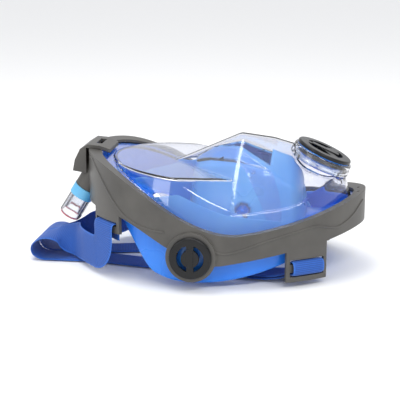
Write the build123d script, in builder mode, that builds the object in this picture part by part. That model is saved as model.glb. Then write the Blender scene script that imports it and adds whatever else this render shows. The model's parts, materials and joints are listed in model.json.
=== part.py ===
"""Full-face snorkel mask, lying on its back on a table with the lens upwards.

+X runs from the forehead to the chin, +Y to the wearer's left and +Z out of the lens. The origin is
on the table under the centre of the crown arc, which is also the middle of the mask with its harness
laid out behind the forehead. All sizes are millimetres.
"""

from build123d import *
import os
from math import acos, atan2, cos, degrees, hypot, radians, sin, tan

# ---------------------------------------------------------------- driving sizes
MASK_LENGTH = 250.4       # crown to chin over the frame
CROWN_R = 98.5            # the top half of the outline is this half circle
CHEEK_R = 212.0           # long arc down each cheek
JAW_ANGLE = 25.0          # how far the cheek arc turns before the jaw arc takes over
CHIN_R = 46.0             # arc round the chin
RIM_CROWN_Z = 105.0       # height of the frame's front edge at the crown
RIM_CHEEK_Z = 47.5        # at its lowest, beside the cheeks
RIM_CHIN_Z = 72.0         # and at the chin
RIM_LOW_X = 45.0          # where that lowest place is
RIM_RISE = 1.35           # 1 climbs evenly from there to the chin, 2 climbs late
REAR_CROWN_Z = 60.0       # height of the frame's rear edge at the crown
REAR_CHEEK_Z = 22.0       # at its lowest
REAR_CHIN_Z = 44.0        # and at the chin
SEAL_CROWN_Z = 62.0       # the seal's edge on the middle line: forehead
SEAL_CHIN_Z = 44.0        # and chin
SEAL_DROP = 54.9          # how much lower the seal lies behind the temples
FIT_GAP = 0.3             # between pieces that only touch
RUN_GAP = 0.1             # round pieces that turn or slide

FRAME_WALL = 3.0
LIP_REACH = 6.5           # how far the frame's front lip reaches in at the sides
LIP_MORE_CROWN = 5.0      # how much further at the crown
LIP_MORE_CHIN = 4.0       # and at the chin
LIP_THICK = 2.6

LENS_THICK = 2.4
LENS_INSET = 4.6          # inset of the lens wall at LENS_BASE_Z
LENS_BASE_Z = 35.0
LENS_DRAFT = 16.0         # lean of the lens wall
WINDOW_Z = 91.75          # the flat viewing window's height over the origin
WINDOW_SLOPE = 0.0875     # its fall towards the chin
FLANGE_THICK = 2.5

SKIRT_INSET = 10.0
SKIRT_WALL = 2.0
BEAD_REACH = 1.5          # clamped edge of the skirt, outside its wall
BEAD_THICK = 2.2
SEAL_THICK = 1.8
OPENING_CROWN_X = -42.0   # the face opening, an oval
OPENING_FROM_CHIN = 57.9
OPENING_HALF = 62.0

CUP_WALL = 1.8
RETAINER_THICK = 1.4
RETAINER_WIDTH = 14.0
RETAINER_LENGTH = 98.0
RETAINER_ANGLE = 32.0
CUP_VALVE_R = 6.2
CUP_VALVE_X = 46.0

DRAIN_FROM_CHIN = 38.9    # drain valve at the chin, on the lens
DRAIN_Z = 101.0
DRAIN_TILT = 24.0
DRAIN_BORE = 23.0
DRAIN_COVER_R = 25.5
TEMPLE_X = 8.0            # side valves, on the frame
TEMPLE_Z = 30.0
TEMPLE_BORE = 15.6
TEMPLE_COVER_R = 18.0
TEMPLE_PROUD = 0.85       # from the outline out to the side valves' reference face
BOSS_WALL = 4.5
DISC_THICK = 1.2
DISC_TRAVEL = 1.5
TWIST = 30.0              # bayonet turn of a valve cover

PORT_TILT = 32.0          # the snorkel port leans back this far from straight down
PORT_BEHIND = 3.3         # from the crown back to the middle of the housing's open end
PORT_Z = 67.0
PORT_WIDTH = 42.0
PORT_DEPTH = 20.0
PORT_HOUSING = 31.0
PORT_BAND = 10.0
PORT_TUBE = 20.0
PORT_WALL = 1.8
PORT_NOTCH_TOP = 86.0     # the frame is cut away for the port up to here
TAB_WIDTH = 43.0          # forehead tab, at the crown
TAB_TAPER = 2.5           # and this much narrower on each side at its end
TAB_LENGTH = 21.0         # from the crown to the tab's end

STRAP_WIDTH = 30.0
STRAP_THICK = 1.6
JAW_LUG_FROM_CHIN = 47.4  # middle of the lower strap lugs
JAW_LUG_Z = 5.0           # their foot
CROWN_LUG_SHARE = 0.731   # how far along the crown arc's radius the upper lugs are
CROWN_LUG_Z = 42.0
SLOT_SPARE = 3.0          # a slot is this much longer than the webbing is wide
SLOT_HEIGHT = 4.0
LUG_END = 3.2             # width of the lug beyond each end of its slot
JAW_BAR = 7.0             # height of the bar between the two lower slots
CROWN_BAR = 6.0
KEEPER_LENGTH = 18.0
KEEPER_WALL = 1.2

SCREW_R = 1.25
SCREW_HEAD_R = 2.4
SCREW_FROM_CHIN = 6.5
SCREW_Y = 8.0

# ---------------------------------------------------------------- worked out from them
CHIN_X = MASK_LENGTH - CROWN_R
CHEEK_C = (0.0, CROWN_R - CHEEK_R)
DRAIN_X = CHIN_X - DRAIN_FROM_CHIN
PORT_X = -CROWN_R - PORT_BEHIND
TAB_END_X = TAB_LENGTH - CROWN_R
JAW_LUG_X = CHIN_X - JAW_LUG_FROM_CHIN
CROWN_LUG_X = -CROWN_LUG_SHARE * CROWN_R
SCREW_X = CHIN_X - SCREW_FROM_CHIN
OPENING_CHIN_X = CHIN_X - OPENING_FROM_CHIN
CHIN_C = (CHIN_X - CHIN_R, 0.0)
SPAN = 130.0              # past every piece, for cutting shapes
FLANGE_TOP = LIP_THICK + FIT_GAP                 # below the frame's front edge
SKIRT_TOP = FLANGE_TOP + FLANGE_THICK + FIT_GAP


def jaw_arc():
    """Radius and centre of the arc that runs on from the cheek arc and meets the chin arc."""
    turn = radians(JAW_ANGLE)
    away = (sin(turn), cos(turn))
    end = (CHEEK_C[0] + CHEEK_R * away[0], CHEEK_C[1] + CHEEK_R * away[1])
    dx, dy = end[0] - CHIN_C[0], end[1] - CHIN_C[1]
    radius = (dx * dx + dy * dy - CHIN_R**2) / (2 * (dx * away[0] + dy * away[1] - CHIN_R))
    return radius, (end[0] - radius * away[0], end[1] - radius * away[1])


JAW_R, JAW_C = jaw_arc()
JAW_END = degrees(atan2(CHIN_C[1] - JAW_C[1], CHIN_C[0] - JAW_C[0]))


LOW_SLOT_Z = JAW_LUG_Z + 4.5 + SLOT_HEIGHT / 2
HIGH_SLOT_Z = LOW_SLOT_Z + SLOT_HEIGHT + JAW_BAR
CROWN_SLOT_Z = CROWN_LUG_Z + CROWN_BAR + SLOT_HEIGHT / 2


def smooth(share):
    """0 to 1 with level ends."""
    share = min(1.0, max(0.0, share))
    return share * share * (3 - 2 * share)


def rim_z(x):
    """Height of the frame's front edge."""
    if x < RIM_LOW_X:
        return RIM_CHEEK_Z + (RIM_CROWN_Z - RIM_CHEEK_Z) * smooth((RIM_LOW_X - x) / (RIM_LOW_X + CROWN_R))
    return RIM_CHEEK_Z + (RIM_CHIN_Z - RIM_CHEEK_Z) * ((x - RIM_LOW_X) / (CHIN_X - RIM_LOW_X)) ** RIM_RISE


def rear_z(x):
    """Height of the frame's rear edge."""
    low_x, level_x = 30.0, -70.0
    if x < low_x:
        return REAR_CHEEK_Z + (REAR_CROWN_Z - REAR_CHEEK_Z) * smooth((low_x - x) / (low_x - level_x))
    return REAR_CHEEK_Z + (REAR_CHIN_Z - REAR_CHEEK_Z) * ((x - low_x) / (CHIN_X - low_x)) ** 1.1


def seal_z(x, y):
    """Height of the seal, which follows a face: fullest on the middle line."""
    middle = SEAL_CROWN_Z + (SEAL_CHIN_Z - SEAL_CROWN_Z) * (x + CROWN_R) / MASK_LENGTH
    drop = SEAL_DROP * smooth((x + 75) / 50) * (1 - 0.5 * smooth((x - 90) / 50))
    return middle - drop * (y / (CROWN_R - SKIRT_INSET)) ** 2


def window_z(x):
    """Height of the viewing window's outer face."""
    return WINDOW_Z - WINDOW_SLOPE * x


def outline(inset, shift=0.0):
    """The mask's outline, every radius smaller by the inset."""
    with BuildSketch(mode=Mode.PRIVATE) as made:
        with BuildLine():
            CenterArc((shift, 0), CROWN_R - inset, 90, 180)
            CenterArc((CHEEK_C[0] + shift, CHEEK_C[1]), CHEEK_R - inset, 90, -JAW_ANGLE)
            CenterArc((JAW_C[0] + shift, JAW_C[1]), JAW_R - inset, 90 - JAW_ANGLE, JAW_END - 90 + JAW_ANGLE)
            CenterArc((CHIN_C[0] + shift, 0), CHIN_R - inset, JAW_END, -2 * JAW_END)
            CenterArc((JAW_C[0] + shift, -JAW_C[1]), JAW_R - inset, -JAW_END, JAW_END - 90 + JAW_ANGLE)
            CenterArc((CHEEK_C[0] + shift, -CHEEK_C[1]), CHEEK_R - inset, JAW_ANGLE - 90, -JAW_ANGLE)
        make_face()
    return made.sketch


def between(low, high, step=14.0):
    """A block across the whole mask whose floor and roof follow two heights along X."""
    count = int(round((CHIN_X + CROWN_R) / step))
    places = [-CROWN_R - 4 + (MASK_LENGTH + 8) * i / count for i in range(count + 1)]
    with BuildPart(mode=Mode.PRIVATE) as block:
        with BuildSketch(Plane.XZ):
            with BuildLine():
                floor = Spline(*[(x, low(x)) for x in places])
                roof = Spline(*[(x, high(x)) for x in places])
                Line(floor @ 0, roof @ 0)
                Line(floor @ 1, roof @ 1)
            make_face()
        extrude(amount=SPAN, both=True)
    return block.part


def wall(outer, inner, low, high, inner_face=None):
    """A ring between two insets of the outline, with a floor and a roof along X."""
    with BuildPart(mode=Mode.PRIVATE) as ring:
        with BuildSketch():
            add(outline(outer))
            add(inner_face if inner_face is not None else outline(inner), mode=Mode.SUBTRACT)
        extrude(amount=SPAN)
        add(between(low, high), mode=Mode.INTERSECT)
    return ring.part


def flank(middle, radius, x):
    """Point on an outline arc of the left side at x, with the outward and the forehead-to-chin directions."""
    turn = acos((x - middle[0]) / radius)
    out = Vector(cos(turn), sin(turn), 0)
    return Vector(middle[0], middle[1], 0) + out * radius, out, Vector(sin(turn), -cos(turn), 0)


def lug_blocks(place, low, high, width):
    """A pair of boxes through the side walls, square to the outline at the place and mirrored to the right."""
    spot, out, along = place
    with BuildPart(mode=Mode.PRIVATE) as blocks:
        with BuildSketch(Plane(origin=spot - out * 8 + Vector(0, 0, (low + high) / 2), x_dir=along, z_dir=out)):
            Rectangle(width, high - low)
        extrude(amount=12)
        mirror(about=Plane.XZ)
    return blocks.part


def round_bar(plane, radius, low, high):
    """A cylinder along a plane's normal."""
    with BuildPart(mode=Mode.PRIVATE) as bar:
        with BuildSketch(plane.offset(low)):
            Circle(radius)
        extrude(amount=high - low)
    return bar.part


JAW_PLACE = flank(JAW_C, JAW_R, JAW_LUG_X)
CROWN_PLACE = flank((0, 0), CROWN_R, CROWN_LUG_X)

# ---------------------------------------------------------------- valves
DRAIN_PLANE = Plane(
    origin=(DRAIN_X, 0, DRAIN_Z), x_dir=(0, 1, 0), z_dir=(sin(radians(DRAIN_TILT)), 0, cos(radians(DRAIN_TILT)))
)
TEMPLE_Y = CHEEK_C[1] + (CHEEK_R**2 - TEMPLE_X**2) ** 0.5 + TEMPLE_PROUD
TEMPLE_PLANES = {
    "left": Plane(origin=(TEMPLE_X, TEMPLE_Y, TEMPLE_Z), x_dir=(1, 0, 0), z_dir=(0, 1, 0)),
    "right": Plane(origin=(TEMPLE_X, -TEMPLE_Y, TEMPLE_Z), x_dir=(1, 0, 0), z_dir=(0, -1, 0)),
}
# heights along a valve's own axis, from its reference face
BOSS_TOP = 1.5
BOSS_FLOOR = -9.2
SEAT_LOW = -8.4
SEAT_HIGH = -6.0
LEDGE = 1.6               # width of the ledge that carries the seat
HOOK_LOW = -3.2
HOOK_HIGH = -1.6
HOOK_REACH = 1.2
HOOK_ANGLE = 16.0
COVER_LOW = BOSS_TOP + 0.9
COVER_HIGH = 5.4
SEAL_R = 0.7              # section of the sealing ring under a cover
SPIGOT_WALL = 1.9
WINDOW_SHARE = 0.74       # radius of a cover's open front, over its bore's


def hooks(plane, inner, outer, low, high, angle, start):
    """Three hooks of a bayonet, as sectors of a ring."""
    with BuildPart(mode=Mode.PRIVATE) as made:
        with BuildSketch(plane.offset(low)):
            for turn in range(3):
                spread = radians(angle / 2)
                reach = 2 * outer
                with Locations(Location((0, 0, 0), (0, 0, start + 120 * turn))):
                    Polygon((0, 0), (reach * cos(spread), -reach * sin(spread)), (reach * cos(spread), reach * sin(spread)),
                            align=None)
            Circle(outer, mode=Mode.INTERSECT)
            Circle(inner, mode=Mode.SUBTRACT)
        extrude(amount=high - low)
    return made.part


def bore_cut(plane, bore):
    """What a valve's boss is hollowed by: bore, ledge, bayonet groove and the hooks' ways in."""
    with BuildPart(mode=Mode.PRIVATE) as cut:
        add(round_bar(plane, bore, SEAT_LOW, BOSS_TOP + 20))
        add(round_bar(plane, bore - LEDGE, BOSS_FLOOR - 20, SEAT_LOW))
        add(round_bar(plane, bore + HOOK_REACH + RUN_GAP, HOOK_LOW - 0.4, HOOK_HIGH + 0.4))
        way_in = hooks(plane, bore - 1, bore + HOOK_REACH + RUN_GAP, HOOK_HIGH, BOSS_TOP + 1, HOOK_ANGLE + 4, 90 + TWIST)
        add(way_in)
    return cut.part


def valve_seat(plane, bore, spout=0.0):
    """A disc with vents round a hub, and a spout behind it where the air comes through a wall."""
    radius = bore - RUN_GAP
    with BuildPart(mode=Mode.PRIVATE) as seat:
        add(round_bar(plane, radius, SEAT_LOW, SEAT_HIGH))
        if spout:
            add(round_bar(plane, bore - LEDGE - FIT_GAP, SEAT_LOW - 1.2, SEAT_LOW))
            add(round_bar(plane, TEMPLE_SPOUT_R, SEAT_LOW - spout, SEAT_LOW))
        reach = TEMPLE_SPOUT_R - 1.6 if spout else bore - LEDGE - 3.4
        with BuildSketch(plane.offset(SEAT_LOW - spout)):
            Circle(reach)
            Circle(3.6, mode=Mode.SUBTRACT)
            with PolarLocations(0, 3):
                Rectangle(reach, 2.2, align=(Align.MIN, Align.CENTER), mode=Mode.SUBTRACT)
        extrude(amount=SEAT_HIGH - SEAT_LOW + spout, mode=Mode.SUBTRACT)
        add(round_bar(plane, 1.7, SEAT_LOW - spout - 1, SEAT_HIGH + 1), mode=Mode.SUBTRACT)
        if spout:
            add(round_bar(plane, 3.7, SEAT_LOW - spout - 1, SEAT_LOW), mode=Mode.SUBTRACT)
    return seat.part


def valve_disc(plane, bore, label):
    """A soft mushroom valve: disc, stem and barb."""
    low = SEAT_HIGH + RUN_GAP
    radius = bore - SPIGOT_WALL - 1.2
    with BuildPart(mode=Mode.PRIVATE) as disc:
        add(round_bar(plane, radius, low, low + DISC_THICK))
        add(round_bar(plane, 1.6, SEAT_LOW - DISC_TRAVEL - 1.2, low))
        add(round_bar(plane, 2.7, SEAT_LOW - DISC_TRAVEL - 1.4, SEAT_LOW - DISC_TRAVEL - 0.2))
    disc.part.label = label
    return disc.part


def sealing_ring(plane, bore, cover_r):
    """A round-section ring between a boss and its cover."""
    middle = (bore + cover_r) / 2 + 0.3
    with BuildPart(mode=Mode.PRIVATE) as ring:
        with Locations(plane.offset((BOSS_TOP + COVER_LOW) / 2)):
            Torus(middle, min(SEAL_R, (COVER_LOW - BOSS_TOP) / 2 - 0.05))
    return ring.part


def valve_cover(plane, bore, cover_r, hub_share, bars):
    """A twist-off cover: rim, open front with bars, and a spigot with bayonet hooks."""
    window_r = bore * WINDOW_SHARE
    with BuildPart(mode=Mode.PRIVATE) as cover:
        with BuildSketch(plane.offset(COVER_LOW)):
            Circle(cover_r)
        extrude(amount=COVER_HIGH - COVER_LOW)
        fillet(cover.edges().group_by(SortBy.LENGTH)[-1].sort_by(lambda e: plane.to_local_coords(e.center()).Z)[-1:], 1.6)
        add(round_bar(plane, bore - RUN_GAP / 2, HOOK_LOW, COVER_LOW))
        add(hooks(plane, bore - 1.5, bore + HOOK_REACH, HOOK_LOW, HOOK_HIGH, HOOK_ANGLE, 90))
        add(round_bar(plane, bore - SPIGOT_WALL, HOOK_LOW - 1, COVER_LOW), mode=Mode.SUBTRACT)
        with BuildSketch(plane.offset(COVER_LOW - 1)):
            Circle(window_r)
            for middle, width in bars:
                with Locations(Location((0, 0, 0), (0, 0, middle))):
                    Rectangle(window_r + 1, width, align=(Align.MIN, Align.CENTER), mode=Mode.SUBTRACT)
            Circle(window_r * hub_share, mode=Mode.SUBTRACT)
        extrude(amount=COVER_HIGH, mode=Mode.SUBTRACT)
        with BuildSketch(plane.offset(COVER_HIGH - 0.5)):
            Rectangle(window_r * 0.42, window_r * 1.5)
        extrude(amount=1.3)
    return cover.part


TEMPLE_SPOUT_R = 9.4
TEMPLE_SPOUT = 4.6
os.makedirs("parts", exist_ok=True)


def finish(piece, label):
    piece.label = label
    export_step(piece, f"parts/{label}.step")


# ---------------------------------------------------------------- frame, in two halves
with BuildSketch() as lip_opening:
    add(outline(LIP_REACH, LIP_MORE_CROWN))
    add(outline(LIP_REACH, -LIP_MORE_CHIN), mode=Mode.INTERSECT)


def port_notch(room):
    """Where the port's housing passes through the frame at the crown."""
    with BuildPart(mode=Mode.PRIVATE) as notch:
        with Locations((-CROWN_R - SPAN + SKIRT_INSET - 0.8, 0, PORT_NOTCH_TOP + room - SPAN / 2)):
            Box(2 * SPAN, PORT_WIDTH + 3 + 2 * room, SPAN)
    return notch.part


with BuildPart() as frame:
    add(wall(0, FRAME_WALL, rear_z, rim_z))
    add(wall(0, 0, lambda x: rim_z(x) - LIP_THICK, rim_z, inner_face=lip_opening.sketch))
    ring = wall(0, FRAME_WALL, lambda x: 0.0, rear_z)
    lug_span = STRAP_WIDTH + SLOT_SPARE + 2 * LUG_END
    for place, foot in ((JAW_PLACE, JAW_LUG_Z), (CROWN_PLACE, CROWN_LUG_Z)):
        add(ring.intersect(lug_blocks(place, foot, REAR_CROWN_Z + 4, lug_span)))
    for plane in TEMPLE_PLANES.values():
        add(round_bar(plane, TEMPLE_BORE + BOSS_WALL - 1.3, BOSS_FLOOR, 0))
        add(round_bar(plane, TEMPLE_BORE + BOSS_WALL + 1.2, -3.8, BOSS_TOP))
        add(bore_cut(plane, TEMPLE_BORE), mode=Mode.SUBTRACT)
    for place, z in ((JAW_PLACE, LOW_SLOT_Z), (JAW_PLACE, HIGH_SLOT_Z), (CROWN_PLACE, CROWN_SLOT_Z)):
        slots = lug_blocks(place, z - SLOT_HEIGHT / 2, z + SLOT_HEIGHT / 2, STRAP_WIDTH + SLOT_SPARE)
        add(slots, mode=Mode.SUBTRACT)
    for side in (1, -1):
        with BuildSketch(Plane.XY.offset(REAR_CHIN_Z)):
            with Locations((SCREW_X, side * SCREW_Y)):
                Circle(SCREW_HEAD_R + 1.2)
        extrude(amount=rim_z(SCREW_X - 4) - SKIRT_TOP - BEAD_THICK - 1 - REAR_CHIN_Z)
        with Locations((SCREW_X, side * SCREW_Y, REAR_CHIN_Z - 5)):
            Cylinder(SCREW_R + RUN_GAP, SPAN / 3, align=(Align.CENTER, Align.CENTER, Align.MIN), mode=Mode.SUBTRACT)
            Cylinder(SCREW_HEAD_R + RUN_GAP, 9, align=(Align.CENTER, Align.CENTER, Align.MIN), mode=Mode.SUBTRACT)
    with Locations((-CROWN_R + LIP_REACH + 3, 0, RIM_CROWN_Z)):
        Box(8, 25, 12, mode=Mode.SUBTRACT)
    add(port_notch(FIT_GAP), mode=Mode.SUBTRACT)
    Box(4 * SPAN, 2 * RUN_GAP, 4 * SPAN, mode=Mode.SUBTRACT)

for name, side in (("frame_left", 1), ("frame_right", -1)):
    with BuildPart() as half:
        add(frame.part)
        with Locations((0, side * SPAN, 0)):
            Box(4 * SPAN, 2 * SPAN, 4 * SPAN, mode=Mode.INTERSECT)
    finish(half.part, name)


# ---------------------------------------------------------------- lens
def bulge_slice(x, ridge, shoulder_y, shoulder_z, foot_y, foot_z, less=0.0):
    """One slice of a bulge over the nose: ridge, shoulders and feet, drawn in by the same amount."""
    points = [
        (0, ridge - less), (shoulder_y - less * 0.6, shoulder_z - less), (foot_y - less, foot_z - less * 0.5),
        (foot_y - less, 20), (-foot_y + less, 20), (-foot_y + less, foot_z - less * 0.5),
        (-shoulder_y + less * 0.6, shoulder_z - less),
    ]
    with BuildSketch(Plane(origin=(x, 0, 0), x_dir=(0, 1, 0), z_dir=(1, 0, 0)), mode=Mode.PRIVATE) as made:
        with BuildLine():
            Polyline(*points, close=True)
        make_face()
    return made.sketch


def bulge(slices, less):
    """The slices joined into a filled form. Its ends are drawn in with the rest."""
    first, last = slices[0][0], slices[-1][0]
    made = []
    for x, *sizes in slices:
        share = (x - first) / (last - first)
        made.append(bulge_slice(x + less * (1 - 2 * share), *sizes, less=less))
    return loft(made, ruled=True, mode=Mode.PRIVATE)


# along X: ridge height, then half-width and height of the shoulder and of the foot
LENS_SLICES = (
    (-20.0, 93.0, 6.0, 92.0, 30.0, 86.0),
    (10.0, 106.5, 31.7, 90.0, 62.0, 80.0),
    (40.0, 120.0, 58.0, 87.0, 88.0, 56.0),
    (69.0, 116.5, 50.0, 86.0, 88.0, 50.0),
    (CHIN_X - 46.9, 106.5, 38.0, 84.0, 74.0, 52.0),
    (CHIN_X + 0.1, 82.0, 24.0, 72.0, 44.0, 50.0),
)


def lens_body(less):
    """The lens as a filled form, drawn in by the wall's thickness for its hollow."""
    with BuildPart(mode=Mode.PRIVATE) as body:
        with BuildSketch(Plane.XZ):
            Polygon(
                (-SPAN, 20), (-SPAN, window_z(-SPAN) - less), (38, window_z(38) - less), (38, 20), align=None)
        extrude(amount=SPAN, both=True)
        for side in (1, -1):
            # the shoulder falls away beside the window's lower corners
            with BuildPart(mode=Mode.PRIVATE) as beside:
                with BuildSketch(Plane(origin=(-13, side * (78 - less), 93 - less), x_dir=(46, -side * 22, -4),
                                       z_dir=(0.33, side * 0.62, 0.71))):
                    Rectangle(4 * SPAN, 4 * SPAN)
                extrude(amount=SPAN)
            add(beside.part, mode=Mode.SUBTRACT)
        add(bulge(LENS_SLICES, less))
    lean = tan(radians(LENS_DRAFT)) * (SPAN - LENS_BASE_Z)
    with BuildPart(mode=Mode.PRIVATE) as cone:
        with BuildSketch(Plane.XY.offset(LENS_BASE_Z)):
            add(outline(LENS_INSET + less))
        with BuildSketch(Plane.XY.offset(SPAN)):
            add(outline(LENS_INSET + less + lean))
        loft(ruled=True)
    return body.part.intersect(cone.part)


with BuildPart() as lens:
    add(lens_body(0))
    add(between(lambda x: rim_z(x) - SKIRT_TOP + FIT_GAP, lambda x: SPAN), mode=Mode.INTERSECT)
    add(wall(FRAME_WALL + FIT_GAP, 26, lambda x: rim_z(x) - FLANGE_TOP - FLANGE_THICK, lambda x: rim_z(x) - FLANGE_TOP))
    add(round_bar(DRAIN_PLANE, DRAIN_BORE + BOSS_WALL, BOSS_FLOOR, BOSS_TOP))
    hollow = lens_body(LENS_THICK)
    add(hollow - round_bar(DRAIN_PLANE, DRAIN_BORE + BOSS_WALL, BOSS_FLOOR, BOSS_TOP), mode=Mode.SUBTRACT)
    add(bore_cut(DRAIN_PLANE, DRAIN_BORE), mode=Mode.SUBTRACT)
    for side in (1, -1):
        with Locations((SCREW_X, side * SCREW_Y, RIM_CHIN_Z)):
            Cylinder(SCREW_R + RUN_GAP, 40, mode=Mode.SUBTRACT)
finish(lens.part, "lens")

# ---------------------------------------------------------------- chin screws
with BuildPart() as chin_screws:
    for side in (1, -1):
        with Locations((SCREW_X, side * SCREW_Y, REAR_CHIN_Z + 2.4)):
            Cylinder(SCREW_HEAD_R, 1.5, align=(Align.CENTER, Align.CENTER, Align.MIN))
            Cylinder(SCREW_R, RIM_CHIN_Z - FLANGE_TOP - 3 - REAR_CHIN_Z - 2.4, align=(Align.CENTER, Align.CENTER, Align.MIN))
        with Locations((SCREW_X, side * SCREW_Y, REAR_CHIN_Z + 2.4)):
            Box(3.2, 0.7, 1.6, mode=Mode.SUBTRACT)
            Box(0.7, 3.2, 1.6, mode=Mode.SUBTRACT)
finish(chin_screws.part, "chin_screws")

# ---------------------------------------------------------------- forehead bracket and snorkel port
back = radians(PORT_TILT)
PORT_PLANE = Plane(origin=(PORT_X, 0, PORT_Z), x_dir=(0, 1, 0), z_dir=(-sin(back), 0, -cos(back)))

with BuildPart() as forehead_bracket:
    with BuildSketch(PORT_PLANE.offset(-PORT_HOUSING)):
        RectangleRounded(PORT_WIDTH + 1, PORT_DEPTH + 1, (PORT_DEPTH + 1) / 2 - 0.5)
    extrude(amount=PORT_HOUSING)
    outside = wall(-SPAN / 3, -FIT_GAP, lambda x: 0, lambda x: SPAN)
    add(outside + port_notch(0), mode=Mode.INTERSECT)
    with BuildSketch(Plane.XZ):
        Polygon(
            (-CROWN_R - 13, 84), (-CROWN_R - FIT_GAP, 82), (-CROWN_R - FIT_GAP, RIM_CROWN_Z + FIT_GAP),
            (-CROWN_R + 12, RIM_CROWN_Z - 0.6), (TAB_END_X, RIM_CROWN_Z - 4.4), (TAB_END_X, RIM_CROWN_Z - 0.9), (-CROWN_R + 12, 107.6),
            (-CROWN_R + 1, 108.4), (-CROWN_R - 6, 104), (-CROWN_R - 11, 94), align=None)
    tab = extrude(amount=TAB_WIDTH / 2, both=True, mode=Mode.PRIVATE)
    with BuildPart(mode=Mode.PRIVATE) as taper:
        with BuildSketch():
            Polygon(
                (-CROWN_R - 16, TAB_WIDTH / 2), (-CROWN_R + 10, TAB_WIDTH / 2), (TAB_END_X, TAB_WIDTH / 2 - TAB_TAPER),
                (TAB_END_X, TAB_TAPER - TAB_WIDTH / 2), (-CROWN_R + 10, -TAB_WIDTH / 2), (-CROWN_R - 16, -TAB_WIDTH / 2),
                align=None)
        extrude(amount=SPAN)
    add(tab.intersect(taper.part))
    with Locations((-CROWN_R + LIP_REACH + 3, 0, RIM_CROWN_Z)):
        Box(5.5, 22, 20, mode=Mode.SUBTRACT)
    with BuildSketch(PORT_PLANE.offset(-12)):
        with Locations((PORT_WIDTH / 4, 0), (-PORT_WIDTH / 4, 0)):
            RectangleRounded(PORT_WIDTH / 2 - 2 * PORT_WALL, PORT_DEPTH - 2 * PORT_WALL, 6)
    extrude(amount=13, mode=Mode.SUBTRACT)
finish(forehead_bracket.part, "forehead_bracket")


def port_piece(low, high, width, depth, air_ways=2):
    """A stretch of the flattened port, pierced by its two air ways."""
    with BuildPart(mode=Mode.PRIVATE) as piece:
        with BuildSketch(PORT_PLANE.offset(low)):
            RectangleRounded(width, depth, depth / 2 - 0.5)
            with Locations((PORT_WIDTH / 4 - 0.5, 0), (0.5 - PORT_WIDTH / 4, 0)):
                RectangleRounded(PORT_WIDTH / 2 - 2 * PORT_WALL, PORT_DEPTH - 2 * PORT_WALL, 6, mode=Mode.SUBTRACT)
        extrude(amount=high - low)
    return piece.part


with BuildPart() as port_band:
    add(port_piece(FIT_GAP, PORT_BAND, PORT_WIDTH + 2, PORT_DEPTH + 1.6))
    add(round_bar(PORT_PLANE, SPAN, PORT_BAND + 1, PORT_BAND + 2), mode=Mode.SUBTRACT)
finish(port_band.part, "port_band")

with BuildPart() as port_tube:
    add(port_piece(PORT_BAND + FIT_GAP, PORT_BAND + PORT_TUBE, PORT_WIDTH, PORT_DEPTH))
finish(port_tube.part, "port_tube")

with BuildPart() as port_gasket:
    add(port_piece(PORT_BAND + PORT_TUBE + FIT_GAP / 3, PORT_BAND + PORT_TUBE + 1.8, PORT_WIDTH - 1.2, PORT_DEPTH - 1.2))
finish(port_gasket.part, "port_gasket")

# ---------------------------------------------------------------- skirt
def under_seal(lift):
    """Everything below the seal's surface raised by the lift: a slice every few millimetres."""
    count = 22
    slices = []
    for i in range(count + 1):
        x = -CROWN_R - 6 + (MASK_LENGTH + 12) * i / count
        edge, middle = seal_z(x, SPAN) + lift, seal_z(x, 0) + lift
        with BuildSketch(Plane(origin=(x, 0, 0), x_dir=(0, 1, 0), z_dir=(1, 0, 0)), mode=Mode.PRIVATE) as made:
            with BuildLine():
                Bezier((-SPAN, edge), (0, 2 * middle - edge), (SPAN, edge))
                Polyline((-SPAN, edge), (-SPAN, -2 * SPAN), (SPAN, -2 * SPAN), (SPAN, edge))
            make_face()
        slices.append(made.sketch)
    return loft(slices, ruled=True, mode=Mode.PRIVATE)


below_seal = under_seal(0)
above_lip = under_seal(SEAL_THICK)

with BuildSketch() as opening:
    with Locations(((OPENING_CROWN_X + OPENING_CHIN_X) / 2, 0)):
        Ellipse((OPENING_CHIN_X - OPENING_CROWN_X) / 2, OPENING_HALF)

with BuildPart() as skirt:
    add(wall(SKIRT_INSET, SKIRT_INSET + SKIRT_WALL, lambda x: -40.0, lambda x: rim_z(x) - SKIRT_TOP))
    add(wall(SKIRT_INSET - BEAD_REACH, SKIRT_INSET + SKIRT_WALL,
             lambda x: rim_z(x) - SKIRT_TOP - BEAD_THICK, lambda x: rim_z(x) - SKIRT_TOP))
    add(below_seal, mode=Mode.SUBTRACT)
    with BuildPart(mode=Mode.PRIVATE) as lip:
        with BuildSketch(Plane.XY.offset(-40)):
            add(outline(SKIRT_INSET + 0.2))
            add(opening.sketch, mode=Mode.SUBTRACT)
        extrude(amount=2 * SPAN)
        add(above_lip, mode=Mode.INTERSECT)
        add(below_seal, mode=Mode.SUBTRACT)
    add(lip.part)
    for plane in TEMPLE_PLANES.values():
        add(round_bar(plane, TEMPLE_SPOUT_R + RUN_GAP, -30, 0), mode=Mode.SUBTRACT)
    with Locations((0, 0, -SPAN)):
        Box(4 * SPAN, 4 * SPAN, 2 * SPAN, mode=Mode.SUBTRACT)
finish(skirt.part, "skirt")

# ---------------------------------------------------------------- nose and mouth cup
CUP_SLICES = (
    (-6.0, 91.0, 12.0, 84.0, 26.0, 60.0),
    (14.0, 102.0, 24.0, 88.0, 42.0, 54.0),
    (40.0, 114.0, 36.0, 90.0, 54.0, 44.0),
    (66.0, 110.5, 38.0, 83.0, 54.0, 40.0),
    (CHIN_X - 63.9, 98.0, 32.0, 74.0, 46.0, 42.0),
    (CHIN_X - 51.9, 84.0, 24.0, 62.0, 36.0, 44.0),
)


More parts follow.
